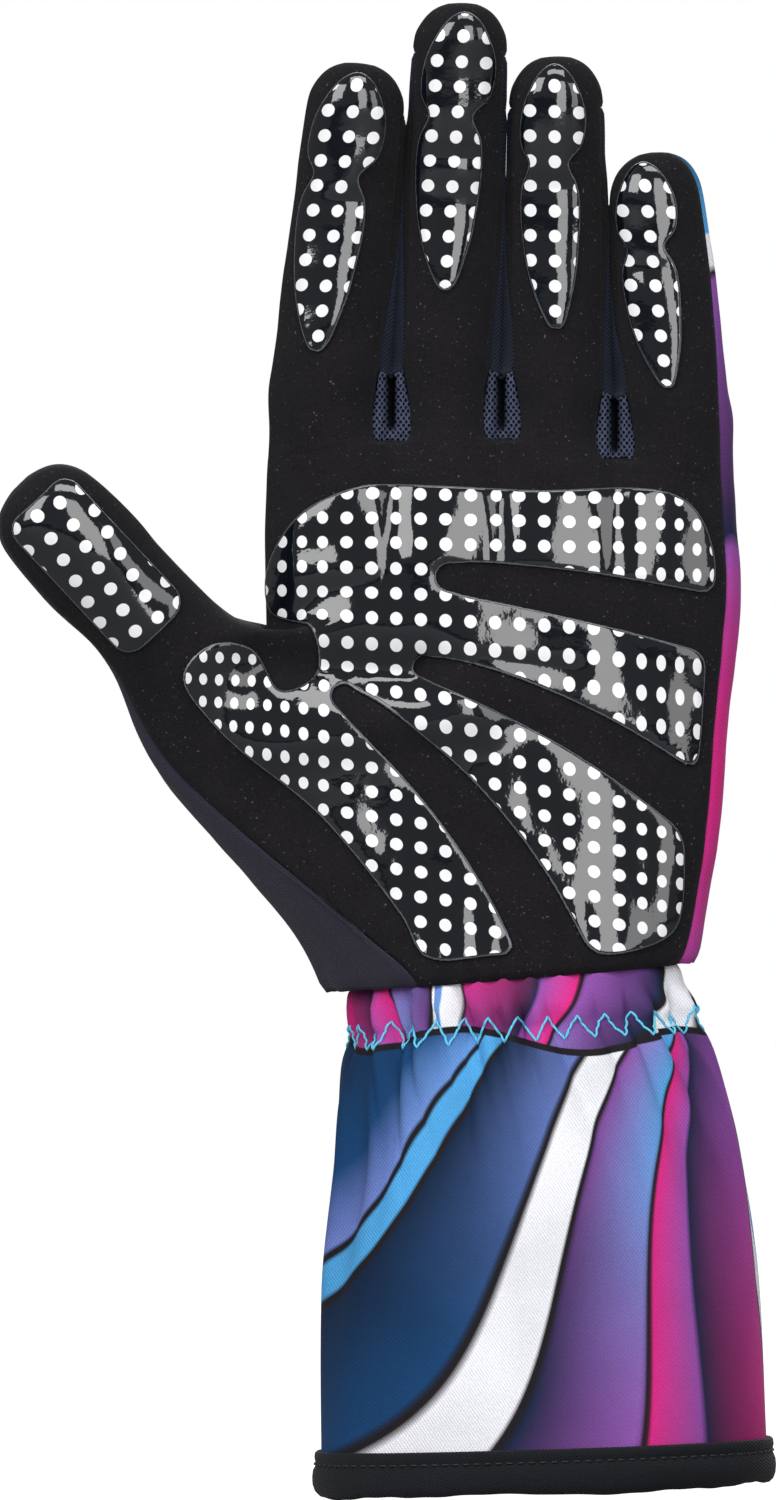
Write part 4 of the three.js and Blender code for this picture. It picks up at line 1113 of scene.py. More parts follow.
def thumb_outline():
    half_width, half_length = THUMB_GRIP_WIDTH / 2, THUMB_GRIP_LENGTH / 2
    line = []
    for x, z, start in ((1, 1, 0), (-1, 1, 90), (-1, -1, 180), (1, -1, 270)):
        for turn in np.radians(np.linspace(start, start + 90, 8)):
            line.append((
                x * (half_width - THUMB_GRIP_CORNER) + THUMB_GRIP_CORNER * math.cos(turn),
                z * (half_length - THUMB_GRIP_CORNER) + THUMB_GRIP_CORNER * math.sin(turn),
            ))
    return Outline(line)


class Plane:
    """Where a pad's outline is drawn: a middle, two directions, and the way in towards the glove."""

    def __init__(self, middle, across, up):
        self.middle, self.across, self.up = middle, across, up
        self.inward = -np.cross(across, up)

    def lay(self, places, tree):
        """The points and normals of the palm's surface behind each place."""
        found, facing = [], []
        for x, z in places:
            start = self.middle + self.across * x + self.up * z - self.inward * 60
            hit, normal, _, _ = tree.ray_cast(Vector(start), Vector(self.inward))
            found.append(hit if hit else Vector(start + self.inward * 60))
            facing.append(normal if hit else Vector(-self.inward))
        return np.array(found), np.array(facing)


PALM_PLANE = Plane(at(0, -2, 0), at(1, 0, 0), at(0, 0, 1))
thumb_grip_middle = 1 - (THUMB_GRIP_END + THUMB_GRIP_LENGTH / 2) / THUMB_LENGTH
THUMB_PLANE = Plane(thumb_point(thumb_grip_middle), thumb_across, thumb_axis)

# Rows of a pad's edge, from its flat top out. inset: how far inside the outline. lift: share of thickness.
PAD_EDGE = table("inset lift", (0.62, 1.0), (0.34, 0.9), (0.14, 0.68), (0.02, 0.35), (0.0, -0.35))


def pad_grid(outline, cell):
    """The places and square faces of a grid within an outline."""
    low, high = outline.corners.min(0), outline.corners.max(0)
    xs, zs = (np.arange(low[k], high[k] + cell, cell) for k in (0, 1))
    grid = np.array([(x, z) for z in zs for x in xs])
    within = (outline.inside(grid) > PAD_EDGE[0]["inset"] + 0.25 * cell).reshape(len(zs), len(xs))
    numbers = np.arange(len(grid)).reshape(len(zs), len(xs))
    full = within[:-1, :-1] & within[1:, :-1] & within[1:, 1:] & within[:-1, 1:]
    faces = np.stack([numbers[:-1, :-1], numbers[:-1, 1:], numbers[1:, 1:], numbers[1:, :-1]], -1)[full]
    used, compact = np.unique(faces, return_inverse=True)
    return grid[used], compact.reshape(-1, 4)


def move_to(inside, places, depth):
    """The same places, moved to where the outline is a given distance away."""
    places = places.copy()
    step = 0.02
    for _ in range(5):
        here = inside(places)
        slope = np.column_stack([
            (inside(places + side) - inside(places - side)) / (2 * step) for side in ((step, 0), (0, step))
        ])
        steep = np.maximum((slope**2).sum(1), 0.2)
        places += slope * ((depth - here) / steep)[:, None] * 0.9
    return places


def lay_pad(name, outline, plane, dots_of, cell=0.8):
    """A pad with round edges, cut by its outline and laid on the palm."""
    inside = outline.inside
    places, faces = pad_grid(outline, cell)
    rim = rim_edges(faces)
    order = np.unique(rim)
    places[order] = move_to(inside, places[order], PAD_EDGE[0]["inset"])
    lifts = np.full(len(places), PAD_EDGE[0]["lift"])
    all_faces = [faces]
    place_list, lift_list = [places], [lifts]
    edge_list = [np.minimum(inside(places), 3.0)]
    count = len(places)
    rank = {int(v): k for k, v in enumerate(order)}
    ring_start = np.array([rank[int(v)] for v in rim[:, 0]])
    ring_end = np.array([rank[int(v)] for v in rim[:, 1]])
    last_places = places[order]
    last_numbers = order
    for edge in PAD_EDGE[1:]:
        last_places = move_to(inside, last_places, edge["inset"])
        numbers = count + np.arange(len(order))
        count += len(order)
        place_list.append(last_places)
        lift_list.append(np.full(len(order), edge["lift"]))
        edge_list.append(np.full(len(order), edge["inset"]))
        a, b = last_numbers[ring_start], last_numbers[ring_end]
        c, d = numbers[ring_end], numbers[ring_start]
        all_faces.append(np.column_stack([b, a, d, c]))
        last_numbers = numbers
    places = np.vstack(place_list)
    lifts = np.concatenate(lift_list)
    laid, facing = plane.lay(places, palm_tree)
    laid += facing * (lifts * PAD_THICKNESS + 0.05)[:, None]
    edges = np.concatenate(edge_list)
    flat_edges = np.column_stack([edges, np.zeros(len(edges))])
    return add_object(name, laid, np.vstack(all_faces), SILICONE, cloth=dots_of(places), edge=flat_edges)


def palm_dots(places):
    """Where each place is on the dotted sheet, counted in dots. The rows lean towards the wrist."""
    lean = 0.02 + 0.12 * smooth((88 - places[:, 1]) / 45)
    x = places[:, 0] + 6.0
    u = places[:, 0] + 0.5 * np.sign(x) * np.maximum(np.abs(x) - 28, 0) ** 1.5 / 6
    v = places[:, 1] + lean * (places[:, 0] + 30)
    return np.column_stack([u + 0.6, v + 0.35]) / DOT_PITCH


def finger_dots(finger):
    line = FingerLine(finger)

    def dots(places):
        share = (places[:, 1] - line.root[2]) / line.axis[2]
        down = (finger["grip_top"] - share) / (finger["grip_top"] - finger["grip_end"])
        shift = lerp(finger["shift_top"], finger["shift_end"], down) * FINGER_GRIP_WIDTH
        off = places[:, 0] - line.root[0] - line.axis[0] * share - shift
        along = (places[:, 1] + 0.05 * off) / FINGER_DOTS_ALONG
        return np.column_stack([off / FINGER_DOTS_ACROSS + 0.5, along])

    return dots


def thumb_dots(places):
    turned = math.radians(12)
    u = places[:, 0] * math.cos(turned) - places[:, 1] * math.sin(turned)
    v = places[:, 0] * math.sin(turned) + places[:, 1] * math.cos(turned)
    return np.column_stack([u, v]) / DOT_PITCH + 0.5


# Node trees


class Nodes:
    """Short calls that build one node tree."""

    def __init__(self, tree):
        self.tree = tree

    def add(self, kind, inputs=None, **settings):
        node = self.tree.nodes.new(kind)
        for key, value in settings.items():
            setattr(node, key, value)
        for key, value in (inputs or {}).items():
            if isinstance(value, bpy.types.NodeSocket):
                self.tree.links.new(value, node.inputs[key])
            else:
                node.inputs[key].default_value = value
        return node

    def math(self, operation, *values):
        return self.add("ShaderNodeMath", dict(enumerate(values)), operation=operation).outputs[0]

    def plus(self, first, second):
        return self.math("ADD", first, second)

    def minus(self, first, second):
        return self.math("SUBTRACT", first, second)

    def times(self, first, second):
        return self.math("MULTIPLY", first, second)

    def over(self, first, second):
        return self.math("DIVIDE", first, second)

    def sine(self, value):
        return self.math("SINE", value)

    def vector(self, operation, inputs):
        return self.add("ShaderNodeVectorMath", inputs, operation=operation).outputs[0]

    def parts(self, vector):
        return self.add("ShaderNodeSeparateXYZ", {0: vector}).outputs

    def link(self, value, socket):
        self.tree.links.new(value, socket)

    def remap(self, value, low, high, to_low=0.0, to_high=1.0):
        """Follows a smooth step from low to high."""
        inputs = {0: value, 1: low, 2: high, 3: to_low, 4: to_high}
        return self.add("ShaderNodeMapRange", inputs, interpolation_type="SMOOTHSTEP").outputs[0]

    def mix(self, share, first, second):
        node = self.add("ShaderNodeMix", {0: share, 6: first, 7: second}, data_type="RGBA")
        return node.outputs[2]

    def ramp(self, value, stops):
        node = self.add("ShaderNodeValToRGB", {0: value})
        elements = node.color_ramp.elements
        while len(elements) < len(stops):
            elements.new(0.5)
        for element, (position, color) in zip(elements, stops):
            element.position = position
            element.color = color
        return node.outputs[0]

    def noise(self, vector, scale, detail=2.0, roughness=0.5):
        inputs = {"Vector": vector, "Scale": scale, "Detail": detail, "Roughness": roughness}
        return self.add("ShaderNodeTexNoise", inputs).outputs["Fac"]


def rgb(code):
    """A colour from its six hex digits, as the light that it gives back."""
    parts = [int(code[k : k + 2], 16) / 255 for k in (0, 2, 4)]
    return tuple(p / 12.92 if p <= 0.04045 else ((p + 0.055) / 1.055) ** 2.4 for p in parts) + (1.0,)


def new_group(name, inputs, outputs):
    """A node group with named inputs and outputs. Each is a name, a socket kind and an input's value."""
    tree = bpy.data.node_groups.new(name, "ShaderNodeTree")
    for label, kind, value in inputs:
        socket = tree.interface.new_socket(name=label, in_out="INPUT", socket_type=kind)
        if value is not None:
            socket.default_value = value
    for label, kind in outputs:
        tree.interface.new_socket(name=label, in_out="OUTPUT", socket_type=kind)
    nodes = Nodes(tree)
    return nodes, nodes.add("NodeGroupInput").outputs, nodes.add("NodeGroupOutput").inputs


def use_group(nodes, tree, inputs):
    return nodes.add("ShaderNodeGroup", inputs, node_tree=tree).outputs


FLOAT, VECTOR, COLOR = "NodeSocketFloat", "NodeSocketVector", "NodeSocketColor"


def make_nap():
    """Short fibres and slow shade changes of brushed cloth: a shade to multiply by and a height."""
    nodes, given, out = new_group(
        "nap", [("Place", VECTOR, None), ("Fibre", FLOAT, 4.0), ("Patch", FLOAT, 0.1), ("Depth", FLOAT, 0.5)],
        [("Shade", FLOAT), ("Height", FLOAT)],
    )
    fine = nodes.noise(given["Place"], given["Fibre"], 3.0, 0.7)
    slow = nodes.noise(given["Place"], given["Patch"], 2.0)
    spread = nodes.times(nodes.minus(fine, 0.5), given["Depth"])
    drift = nodes.times(nodes.minus(slow, 0.5), 0.5)
    shade = nodes.plus(nodes.plus(spread, drift), 1.0)
    nodes.link(shade, out["Shade"])
    nodes.link(fine, out["Height"])
    return nodes.tree


def make_ribs():
    """Slanted ribs of a twill, crossed by its picks: a height, and a painted shade that is darker in the grooves
    between the ribs.
    """
    nodes, given, out = new_group(
        "twill_ribs", [("Place", VECTOR, None), ("Pitch", FLOAT, 0.45), ("Slope", FLOAT, 1.0)],
        [("Height", FLOAT), ("Shade", FLOAT)],
    )
    parts = nodes.parts(given["Place"])
    slant = nodes.plus(parts[0], nodes.times(parts[2], given["Slope"]))
    turns = nodes.times(nodes.over(slant, given["Pitch"]), 2 * math.pi)
    rib = nodes.sine(turns)
    picks = nodes.sine(nodes.over(nodes.times(parts[2], 12.0), given["Pitch"]))
    height = nodes.plus(nodes.times(rib, 0.4), nodes.times(picks, 0.12))
    height = nodes.plus(height, 0.5)
    nodes.link(height, out["Height"])
    # Painted shade: the colour is darker where the weave is low and lighter where it is high.
    nodes.link(nodes.remap(height, 0.0, 1.0, 0.72, 1.15), out["Shade"])
    return nodes.tree


def make_dots():
    """Round dots on a square grid, one for each unit of the sheet."""
    nodes, given, out = new_group(
        "dots", [("Sheet", VECTOR, None), ("Radius", FLOAT, 0.25)], [("Mask", FLOAT)]
    )
    cell = nodes.add("ShaderNodeVectorMath", {0: given["Sheet"]}, operation="FRACTION").outputs[0]
    centred = nodes.vector("SUBTRACT", {0: cell, 1: (0.5, 0.5, 0.0)})
    off = nodes.add("ShaderNodeVectorMath", {0: centred}, operation="LENGTH").outputs["Value"]
    low = nodes.minus(given["Radius"], 0.012)
    high = nodes.plus(given["Radius"], 0.012)
    nodes.link(nodes.minus(1.0, nodes.remap(off, low, high)), out["Mask"])
    return nodes.tree


NAVY, DEEP, SKY, PERI = rgb("0f4170"), rgb("0a2340"), rgb("52a9e6"), rgb("7386cf")
VIOLET, MAGENTA, WHITE, BLACK = rgb("9352ac"), rgb("e02585"), rgb("f3f3fa"), rgb("1b181d")

# The ribbons of the print, in order round the fan. to: where each ends. Each has two colours near the fan's middle
# and two far out.
RIBBONS = table(
    "to near_from near_to far_from far_to",
    (0.13, DEEP, NAVY, DEEP, NAVY),
    (0.19, NAVY, SKY, NAVY, PERI),
    (0.198, BLACK, BLACK, BLACK, BLACK),
    (0.225, SKY, SKY, SKY, SKY),
    (0.233, BLACK, BLACK, BLACK, BLACK),
    (0.352, DEEP, PERI, DEEP, NAVY),
    (0.364, BLACK, BLACK, BLACK, BLACK),
    (0.424, WHITE, WHITE, WHITE, WHITE),
    (0.434, BLACK, BLACK, BLACK, BLACK),
    (0.54, VIOLET, SKY, DEEP, VIOLET),
    (0.548, BLACK, BLACK, BLACK, BLACK),
    (0.61, MAGENTA, VIOLET, MAGENTA, VIOLET),
    (0.77, DEEP, VIOLET, DEEP, MAGENTA),
    (0.778, BLACK, BLACK, BLACK, BLACK),
    (0.82, WHITE, WHITE, WHITE, WHITE),
    (1.0, SKY, DEEP, PERI, DEEP),
)


def ribbon_stops(first, last):
    """A ramp's stops: each ribbon runs from one colour to another, with a crisp border after it."""
    stops, start = [], 0.0
    for row in RIBBONS:
        stops += [(start, row[first]), (row["to"] - 0.0012, row[last])]
        start = row["to"]
    return stops


def make_ribbons():
    """A fan of curved ribbons round a middle, in two sets of colours that fade into each other."""
    nodes, given, out = new_group(
        "ribbon_fan",
        [
            ("Sheet", VECTOR, None),
            ("Middle", VECTOR, (0.0, 0.0, 0.0)),
            ("Reach", FLOAT, 60.0),
            ("Start", FLOAT, -1.45),
            ("Sweep", FLOAT, 1.75),
        ],
        [("Color", COLOR)],
    )
    off = nodes.vector("SUBTRACT", {0: given["Sheet"], 1: given["Middle"]})
    parts = nodes.parts(off)
    reach = nodes.add("ShaderNodeVectorMath", {0: off}, operation="LENGTH").outputs["Value"]
    turn = nodes.math("ARCTAN2", parts[0], nodes.times(parts[1], -1.0))
    wave = nodes.sine(nodes.over(reach, 27.0))
    bent = nodes.plus(turn, nodes.times(wave, 0.13))
    share = nodes.over(nodes.minus(bent, given["Start"]), given["Sweep"])
    share = nodes.math("FRACT", share)
    far = nodes.remap(nodes.over(reach, given["Reach"]), 0.5, 1.7)
    near_color = nodes.ramp(share, ribbon_stops("near_from", "near_to"))
    far_color = nodes.ramp(share, ribbon_stops("far_from", "far_to"))
    nodes.link(nodes.mix(far, near_color, far_color), out["Color"])
    return nodes.tree


def make_knit():
    """A net of crossing yarns with small holes: a mask of the yarn."""
    nodes, given, out = new_group(
        "knit_net", [("Place", VECTOR, None), ("Pitch", FLOAT, 0.7)], [("Yarn", FLOAT)]
    )
    parts = nodes.parts(given["Place"])
    wobble = nodes.times(nodes.noise(given["Place"], 1.1, 1.0), 0.7)
    turns = nodes.over(math.pi, given["Pitch"])
    holes = []
    for slope in (0.75, -0.75):
        slant = nodes.plus(nodes.plus(parts[0], wobble), nodes.times(parts[2], slope))
        wave = nodes.sine(nodes.times(slant, turns))
        holes.append(nodes.times(wave, wave))
    hole = nodes.remap(nodes.times(holes[0], holes[1]), 0.12, 0.5)
    nodes.link(nodes.minus(1.0, hole), out["Yarn"])
    return nodes.tree


NAP, RIBS, DOTS, RIBBON_FAN, KNIT = make_nap(), make_ribs(), make_dots(), make_ribbons(), make_knit()


class Material(Nodes):
    """A material with one principled shader. place is in millimetres."""

    def __init__(self, name, **fixed):
        self.material = bpy.data.materials.new(name)
        self.material.use_nodes = True
        super().__init__(self.material.node_tree)
        self.shader = self.tree.nodes["Principled BSDF"]
        for key, value in fixed.items():
            self.shader.inputs[key.replace("_", " ")].default_value = value
        found = self.add("ShaderNodeTexCoord").outputs["Object"]
        self.place = self.vector("SCALE", {0: found, "Scale": 1 / MM})

    def feed(self, socket, value):
        self.link(value, self.shader.inputs[socket])

    def shaded(self, color, shade):
        """A colour made lighter or darker by a shade, where 1 keeps it."""
        color = color if isinstance(color, bpy.types.NodeSocket) else color[:3]
        return self.vector("SCALE", {0: color, "Scale": shade})

    def bump(self, height, distance, strength=1.0, normal=None):
        inputs = {"Height": height, "Distance": distance * MM, "Strength": strength}
        if normal:
            inputs["Normal"] = normal
        return self.add("ShaderNodeBump", inputs).outputs[0]

    def sheet(self, name="cloth"):
        return self.add("ShaderNodeUVMap", uv_map=name).outputs[0]


def suede_material():
    made = Material(
        "black_suede", Roughness=1.0, Specular_IOR_Level=0.15, Sheen_Weight=0.03, Sheen_Roughness=0.5
    )
    nap = use_group(made, NAP, {"Place": made.place, "Fibre": 2.2, "Patch": 0.15, "Depth": 1.9})
    lint = made.remap(made.noise(made.place, 2.2, 1.0, 0.3), 0.735, 0.8, 0.0, 0.6)
    made.feed("Base Color", made.mix(lint, made.shaded(rgb("1b191c"), nap["Shade"]), rgb("77747a")))
    made.feed("Normal", made.bump(nap["Height"], 0.35, 0.7))
    return made.material


def silicone_material():
    made = Material("dotted_silicone", IOR=1.55, Specular_IOR_Level=0.75)
    mask = use_group(made, DOTS, {"Sheet": made.sheet(), "Radius": 0.252})["Mask"]
    edge = made.parts(made.sheet("edge"))[0]
    ragged = made.plus(edge, made.times(made.noise(made.place, 1.6, 3.0, 0.7), 0.5))
    rim = made.times(made.remap(ragged, 0.3, 0.42), made.remap(ragged, 0.56, 0.68, 1.0, 0.0))
    film = made.mix(made.times(rim, 0.5), rgb("080d15"), rgb("80858d"))
    inner = made.times(mask, made.remap(edge, 0.5, 0.6))
    made.feed("Base Color", made.mix(inner, film, rgb("f4f4f6")))
    made.feed("Roughness", made.plus(made.remap(inner, 0.0, 1.0, 0.06, 0.25), made.times(rim, 0.3)))
    waves = made.noise(made.place, 0.028, 1.0)
    ripples = made.noise(made.place, 0.3, 3.0, 0.65)
    normal = made.bump(waves, 4.6, 0.9)
    made.feed("Normal", made.bump(ripples, 0.08, 0.6, normal))
    return made.material


def print_material(name, fans, border=None):
    """Printed cloth with one fan of ribbons, or two that meet in a black line at a height of the sheet; with two,
    painted shade darkens the valleys of the cuff's gathers.
    """
    made = Material(name, Roughness=0.75, Specular_IOR_Level=0.18, Sheen_Weight=0.03, Sheen_Roughness=0.4)
    colors = [use_group(made, RIBBON_FAN, {"Sheet": made.sheet(), **fan})["Color"] for fan in fans]
    color = colors[0]
    if border is not None:
        parts = made.parts(made.sheet())
        wave = made.sine(made.over(parts[0], 9.0))
        above = made.minus(made.plus(parts[1], made.times(wave, 2.2)), border)
        color = made.mix(made.remap(above, 0.0, 0.25), color, BLACK)
        color = made.mix(made.remap(above, 1.3, 1.55), color, colors[1])
        # Painted shade: the colour is darkened, down to 0.35 of itself, where the gathers sink in, by their depth
        # kept in a layer.
        depth = made.parts(made.sheet("gather_shade"))[0]
        color = made.shaded(color, made.remap(depth, -2.2, -0.2, 0.35, 1.0))
    weave = use_group(made, RIBS, {"Place": made.place, "Pitch": 0.62, "Slope": 0.7})
    nap = use_group(made, NAP, {"Place": made.place, "Fibre": 3.0, "Patch": 0.05, "Depth": 0.45})
    # The nap's random tone, times painted shade that darkens the low grooves of the weave.
    shade = made.times(nap["Shade"], made.remap(weave["Height"], 0.0, 1.0, 0.86, 1.08))
    made.feed("Base Color", made.shaded(color, shade))
    made.feed("Normal", made.bump(weave["Height"], 0.12, 0.5))
    return made.material


def twill_material(name, code, pitch, slope, rough=0.8):
    made = Material(name, Roughness=rough, Specular_IOR_Level=0.3, Sheen_Weight=0.06, Sheen_Roughness=0.4)
    weave = use_group(made, RIBS, {"Place": made.place, "Pitch": pitch, "Slope": slope})
    nap = use_group(made, NAP, {"Place": made.place, "Fibre": 2.5, "Patch": 0.1, "Depth": 0.5})
    # The ribs' painted shade, darker in their grooves, times the nap's random tone.
    made.feed("Base Color", made.shaded(rgb(code), made.times(weave["Shade"], nap["Shade"])))
    made.feed("Normal", made.bump(weave["Height"], 0.3, 0.7))
    return made.material


def knit_material(index):
    """The knitted mesh of one gusset, with painted shade: a dark strip down the middle of its fold, where it
    closes the slit between the side walls.
    """
    made = Material(f"knitted_mesh_{FINGERS[index]['name']}", Roughness=0.9, Specular_IOR_Level=0.2)
    yarn = use_group(made, KNIT, {"Place": made.place, "Pitch": 1.02})["Yarn"]
    nap = use_group(made, NAP, {"Place": made.place, "Fibre": 3.0, "Patch": 0.1, "Depth": 0.7})
    mesh_color = made.shaded(made.mix(yarn, rgb("020305"), rgb("454c64")), nap["Shade"])
    parts = made.parts(made.sheet())
    # Painted shade: a dark strip down the middle of the gusset's fold, where the slit between the side walls lies
    # in shadow.
    bottom = web_height_at(gap_middle(index)) - 0.8 * GUSSET_LENGTH
    off = made.math("ABSOLUTE", parts[0])
    slit_shade = made.times(made.remap(off, 0.3, 0.85, 1.0, 0.0), made.remap(parts[1], bottom, bottom + 1.6))
    made.feed("Base Color", made.mix(slit_shade, mesh_color, rgb("0d111a")))
    made.feed("Normal", made.bump(yarn, 0.6, 1.0))
    return made.material


def thread_material(name, code):
    made = Material(name, Roughness=0.5, Sheen_Weight=0.08)
    twist = made.sine(made.times(made.parts(made.place)[0], 14.0))
    made.feed("Base Color", made.shaded(rgb(code), made.remap(twist, -1.0, 1.0, 0.8, 1.1)))
    return made.material


SUEDE = suede_material()
SILICONE = silicone_material()
BACK_FAN = {"Middle": (-60.0, 175.0, 0.0), "Reach": 95.0, "Start": -1.65, "Sweep": 3.0}
CUFF_FAN = {"Middle": (62.0, 30.0, 0.0), "Reach": 75.0, "Start": -1.45, "Sweep": 1.75}
WRIST_FAN = {"Middle": (-20.0, -32.0, 0.0), "Reach": 30.0, "Start": 1.1, "Sweep": 2.6}
BACK_PRINT = print_material("printed_back_cloth", [BACK_FAN])
CUFF_PRINT = print_material("printed_cuff_cloth", [CUFF_FAN, WRIST_FAN], border=-4.5)
SIDE_CLOTH = twill_material("thumb_side_cloth", "2d2a39", 0.55, 1.3)
TWILL = twill_material("side_wall_twill", "121a2b", 0.75, -1.0, 0.7)
TAPE = twill_material("hem_tape", "10121a", 0.7, 1.1)
CYAN_THREAD = thread_material("cyan_thread", "62cbee")
DARK_THREAD = thread_material("dark_thread", "08090c")

panel_piece("suede_palm", "palm_panel", SUEDE_WALL, SUEDE)
panel_piece("printed_back", "back_panel", FABRIC_WALL, BACK_PRINT)
panel_piece("thumb_side", "thumb_side_panel", FABRIC_WALL, SIDE_CLOTH)
for index in range(3):
    panel_piece(f"twill_{wall_name(index)}", wall_name(index), FABRIC_WALL, TWILL)
    mesh_name = gusset_name(index)
    panel_piece(f"knitted_{mesh_name}", mesh_name, FABRIC_WALL, knit_material(index), gap_middle(index))


back_mesh = pieces["printed_back"].data
back_points = read_values(back_mesh.vertices, "co") / MM
across_back = -back_points[:, 0] + 0.6 * back_points[:, 1]
add_flat_places(back_mesh, "cloth", np.column_stack([across_back, back_points[:, 2]]))

palm_tree = BVHTree.FromPolygons(hand.points.tolist(), hand.faces[hand.is_on("palm_panel")].tolist())
for finger in FINGERS:
    outline = finger_outline(finger)
    lay_pad(f"grip_pad_{finger['name']}", outline, PALM_PLANE, finger_dots(finger), 0.45)
lay_pad("grip_pad_thumb", thumb_outline(), THUMB_PLANE, thumb_dots)
lay_pad("grip_pad_palm", palm_outline, PALM_PLANE, palm_dots)


# The cuff

CUFF_AROUND = 320
CUFF_ROWS = 120
WRIST_ROWS = 50
CUFF_SEAM = math.radians(30)


turns_round = np.linspace(0, 2 * math.pi, 721)


def lengths_along(line):
    """How far along a line each of its points is."""
    return np.concatenate([[0], np.cumsum(np.linalg.norm(np.diff(line, axis=0), axis=1))])


def even_turns():
    """How far round the wrist each angle is by length, counted so that a whole turn is two pi."""
    section = {"middle": 0.0, "half": 0.385 * HEM_WIDTH, "front": 0.32 * HEM_DEPTH, "back": 0.33 * HEM_DEPTH}
    line = np.array([section_point(section, angle, 0) for angle in turns_round])
    lengths = lengths_along(line)
    return lengths / lengths[-1] * 2 * math.pi


turns_by_length = even_turns()


def turn_of(angle):
    whole = angle // (2 * math.pi)
    return 2 * math.pi * whole + np.interp(angle - 2 * math.pi * whole, turns_round, turns_by_length)


def angle_of(turn):
    whole = turn // (2 * math.pi)
    return 2 * math.pi * whole + np.interp(turn - 2 * math.pi * whole, turns_by_length, turns_round)


# Folds of the cuff. out: how far each stands out. turn: how far it leans in 40 mm. z, reach: where it is deepest.
CUFF_CREASES = table(
    "angle turn spread out z reach",
    (204, 5, 6, -2.6, -22, 30),
    (192, 3, 5, 1.3, -26, 28),
    (216, 10, 4, -1.5, -14, 18),
    (228, 16, 5, 1.0, -16, 16),
    (246, 20, 4, -0.8, -14, 12),
    (292, -14, 5, -0.9, -16, 13),
    (322, -10, 5, -1.1, -18, 16),
    (345, -4, 6, 1.0, -22, 18),
    (70, 8, 6, -1.4, -20, 22),
    (120, -6, 6, -1.4, -18, 22),
    (150, 4, 6, 1.2, -20, 20),
    (30, 0, 1.5, -0.7, -45, 90),
)


def elastic_height(angle):
    """The height of the zigzag over the wrist's elastic, at an angle round the cuff."""
    return -1.5 + 1.8 * math.cos(angle)


def cuff_section(down):
    left, right = (read_table(CUFF_SECTIONS, "down", side, down) * HEM_WIDTH for side in ("left", "right"))
    front, back = (read_table(CUFF_SECTIONS, "down", side, down) * HEM_DEPTH for side in ("front", "back"))
    return {"middle": (left + right) / 2, "half": (right - left) / 2, "front": front, "back": back}


def cuff_ends(x):
    """The heights of the cuff's upper and lower edges."""
    return lower_edge(x) + CUFF_OVERLAP, -CUFF_LENGTH + HEM_RISE * x / HEM_WIDTH


def puffs(turn):
    """A row of round puffs with sharp valleys between them, from -1 to 1."""
    return 2 * abs(math.sin(turn / 2)) ** 0.8 - 1


def gathers(angle, z):
    """How far the gathers at the elastic stand out, at a turn and a height."""
    off = z - elastic_height(angle)
    below = max(-off, 0.0)
    drift = 0.9 * math.sin(3 * angle + 0.03 * z) + 0.5 * math.sin(8 * angle - 0.05 * z)
    uneven = 0.65 + 0.35 * math.sin(5 * angle + 1.0) * math.sin(2 * angle + 0.4)
    fade = hump(off, 9) if off > 0 else math.exp(-below / 11)
    pinch = 1 - 0.45 * hump(off, 1.3)
    fine = FINE_GATHER_DEPTH * fade * pinch * uneven * puffs(FINE_GATHERS * angle + 2 * drift + 0.14 * off)
    coarse = COARSE_GATHER_DEPTH * math.exp(-below / 20) * (0.6 + 0.4 * math.sin(3 * angle + 2))
    coarse *= puffs(COARSE_GATHERS * angle + drift + 0.05 * below)
    held = 1 - 0.85 * smooth((z - 2) / 6)
    return held * (fine + coarse + 0.5) - 0.5


def cuff_fold(angle, z):
    """How far the cuff's folds stand out: gathers at the elastic, soft folds and creases below it."""
    off = z - elastic_height(angle)
    angle = turn_of(angle)
    soft = 0.6 * smooth(max(-off, 0.0) / 40) * math.sin(4 * angle + 2.0 + 0.01 * z)
    fold = gathers(angle, z) + soft
    for row in CUFF_CREASES:
        middle = math.radians(row["angle"] + row["turn"] * (z + 20) / 40)
        swing = (angle - middle + math.pi) % (2 * math.pi) - math.pi
        fold += row["out"] * hump(z - row["z"], row["reach"]) * hump(swing, math.radians(row["spread"]))
    return fold - ELASTIC_PULL * hump(off, 3.4)


def cuff_point(angle, z_share):
    section = cuff_section(z_share)
    rough = section_point(section, angle, 0)
    z = lerp(*cuff_ends(rough[0]), z_share)
    fold = cuff_fold(angle, z)
    out = unit(at(rough[0] - section["middle"], rough[1], 0))
    point = rough + out * fold
    point[2] = z
    return point


above_rows = np.linspace(0.0, 0.2, WRIST_ROWS, endpoint=False)
shares = np.concatenate([above_rows, np.linspace(0.2, 1.0, CUFF_ROWS - WRIST_ROWS)])
angles = angle_of(CUFF_SEAM + np.linspace(0, 2 * math.pi, CUFF_AROUND + 1))
cuff_grid = np.array([[cuff_point(angle, share) for angle in angles] for share in shares])
tuck = hump(shares, 0.018)[:, None]
middles = cuff_grid[:, :, :2].mean(axis=1, keepdims=True)
cuff_grid[:, :, :2] += (middles - cuff_grid[:, :, :2]) * 0.05 * tuck[..., None]
lengths = lengths_along(cuff_grid[-1])
around_places = lengths - np.interp(math.radians(270), angles, lengths)
cuff_uv = np.stack([np.broadcast_to(around_places, cuff_grid.shape[:2]), cuff_grid[:, :, 2]], -1)
# The depth of the gathers at each point, kept in a layer for the print's painted shade in their valleys.
gather_shade = [[gathers(turn_of(angle), point[2]) for angle, point in zip(angles, row)] for row in cuff_grid]
gather_uv = np.stack([np.array(gather_shade), cuff_grid[:, :, 2]], -1).reshape(-1, 2)


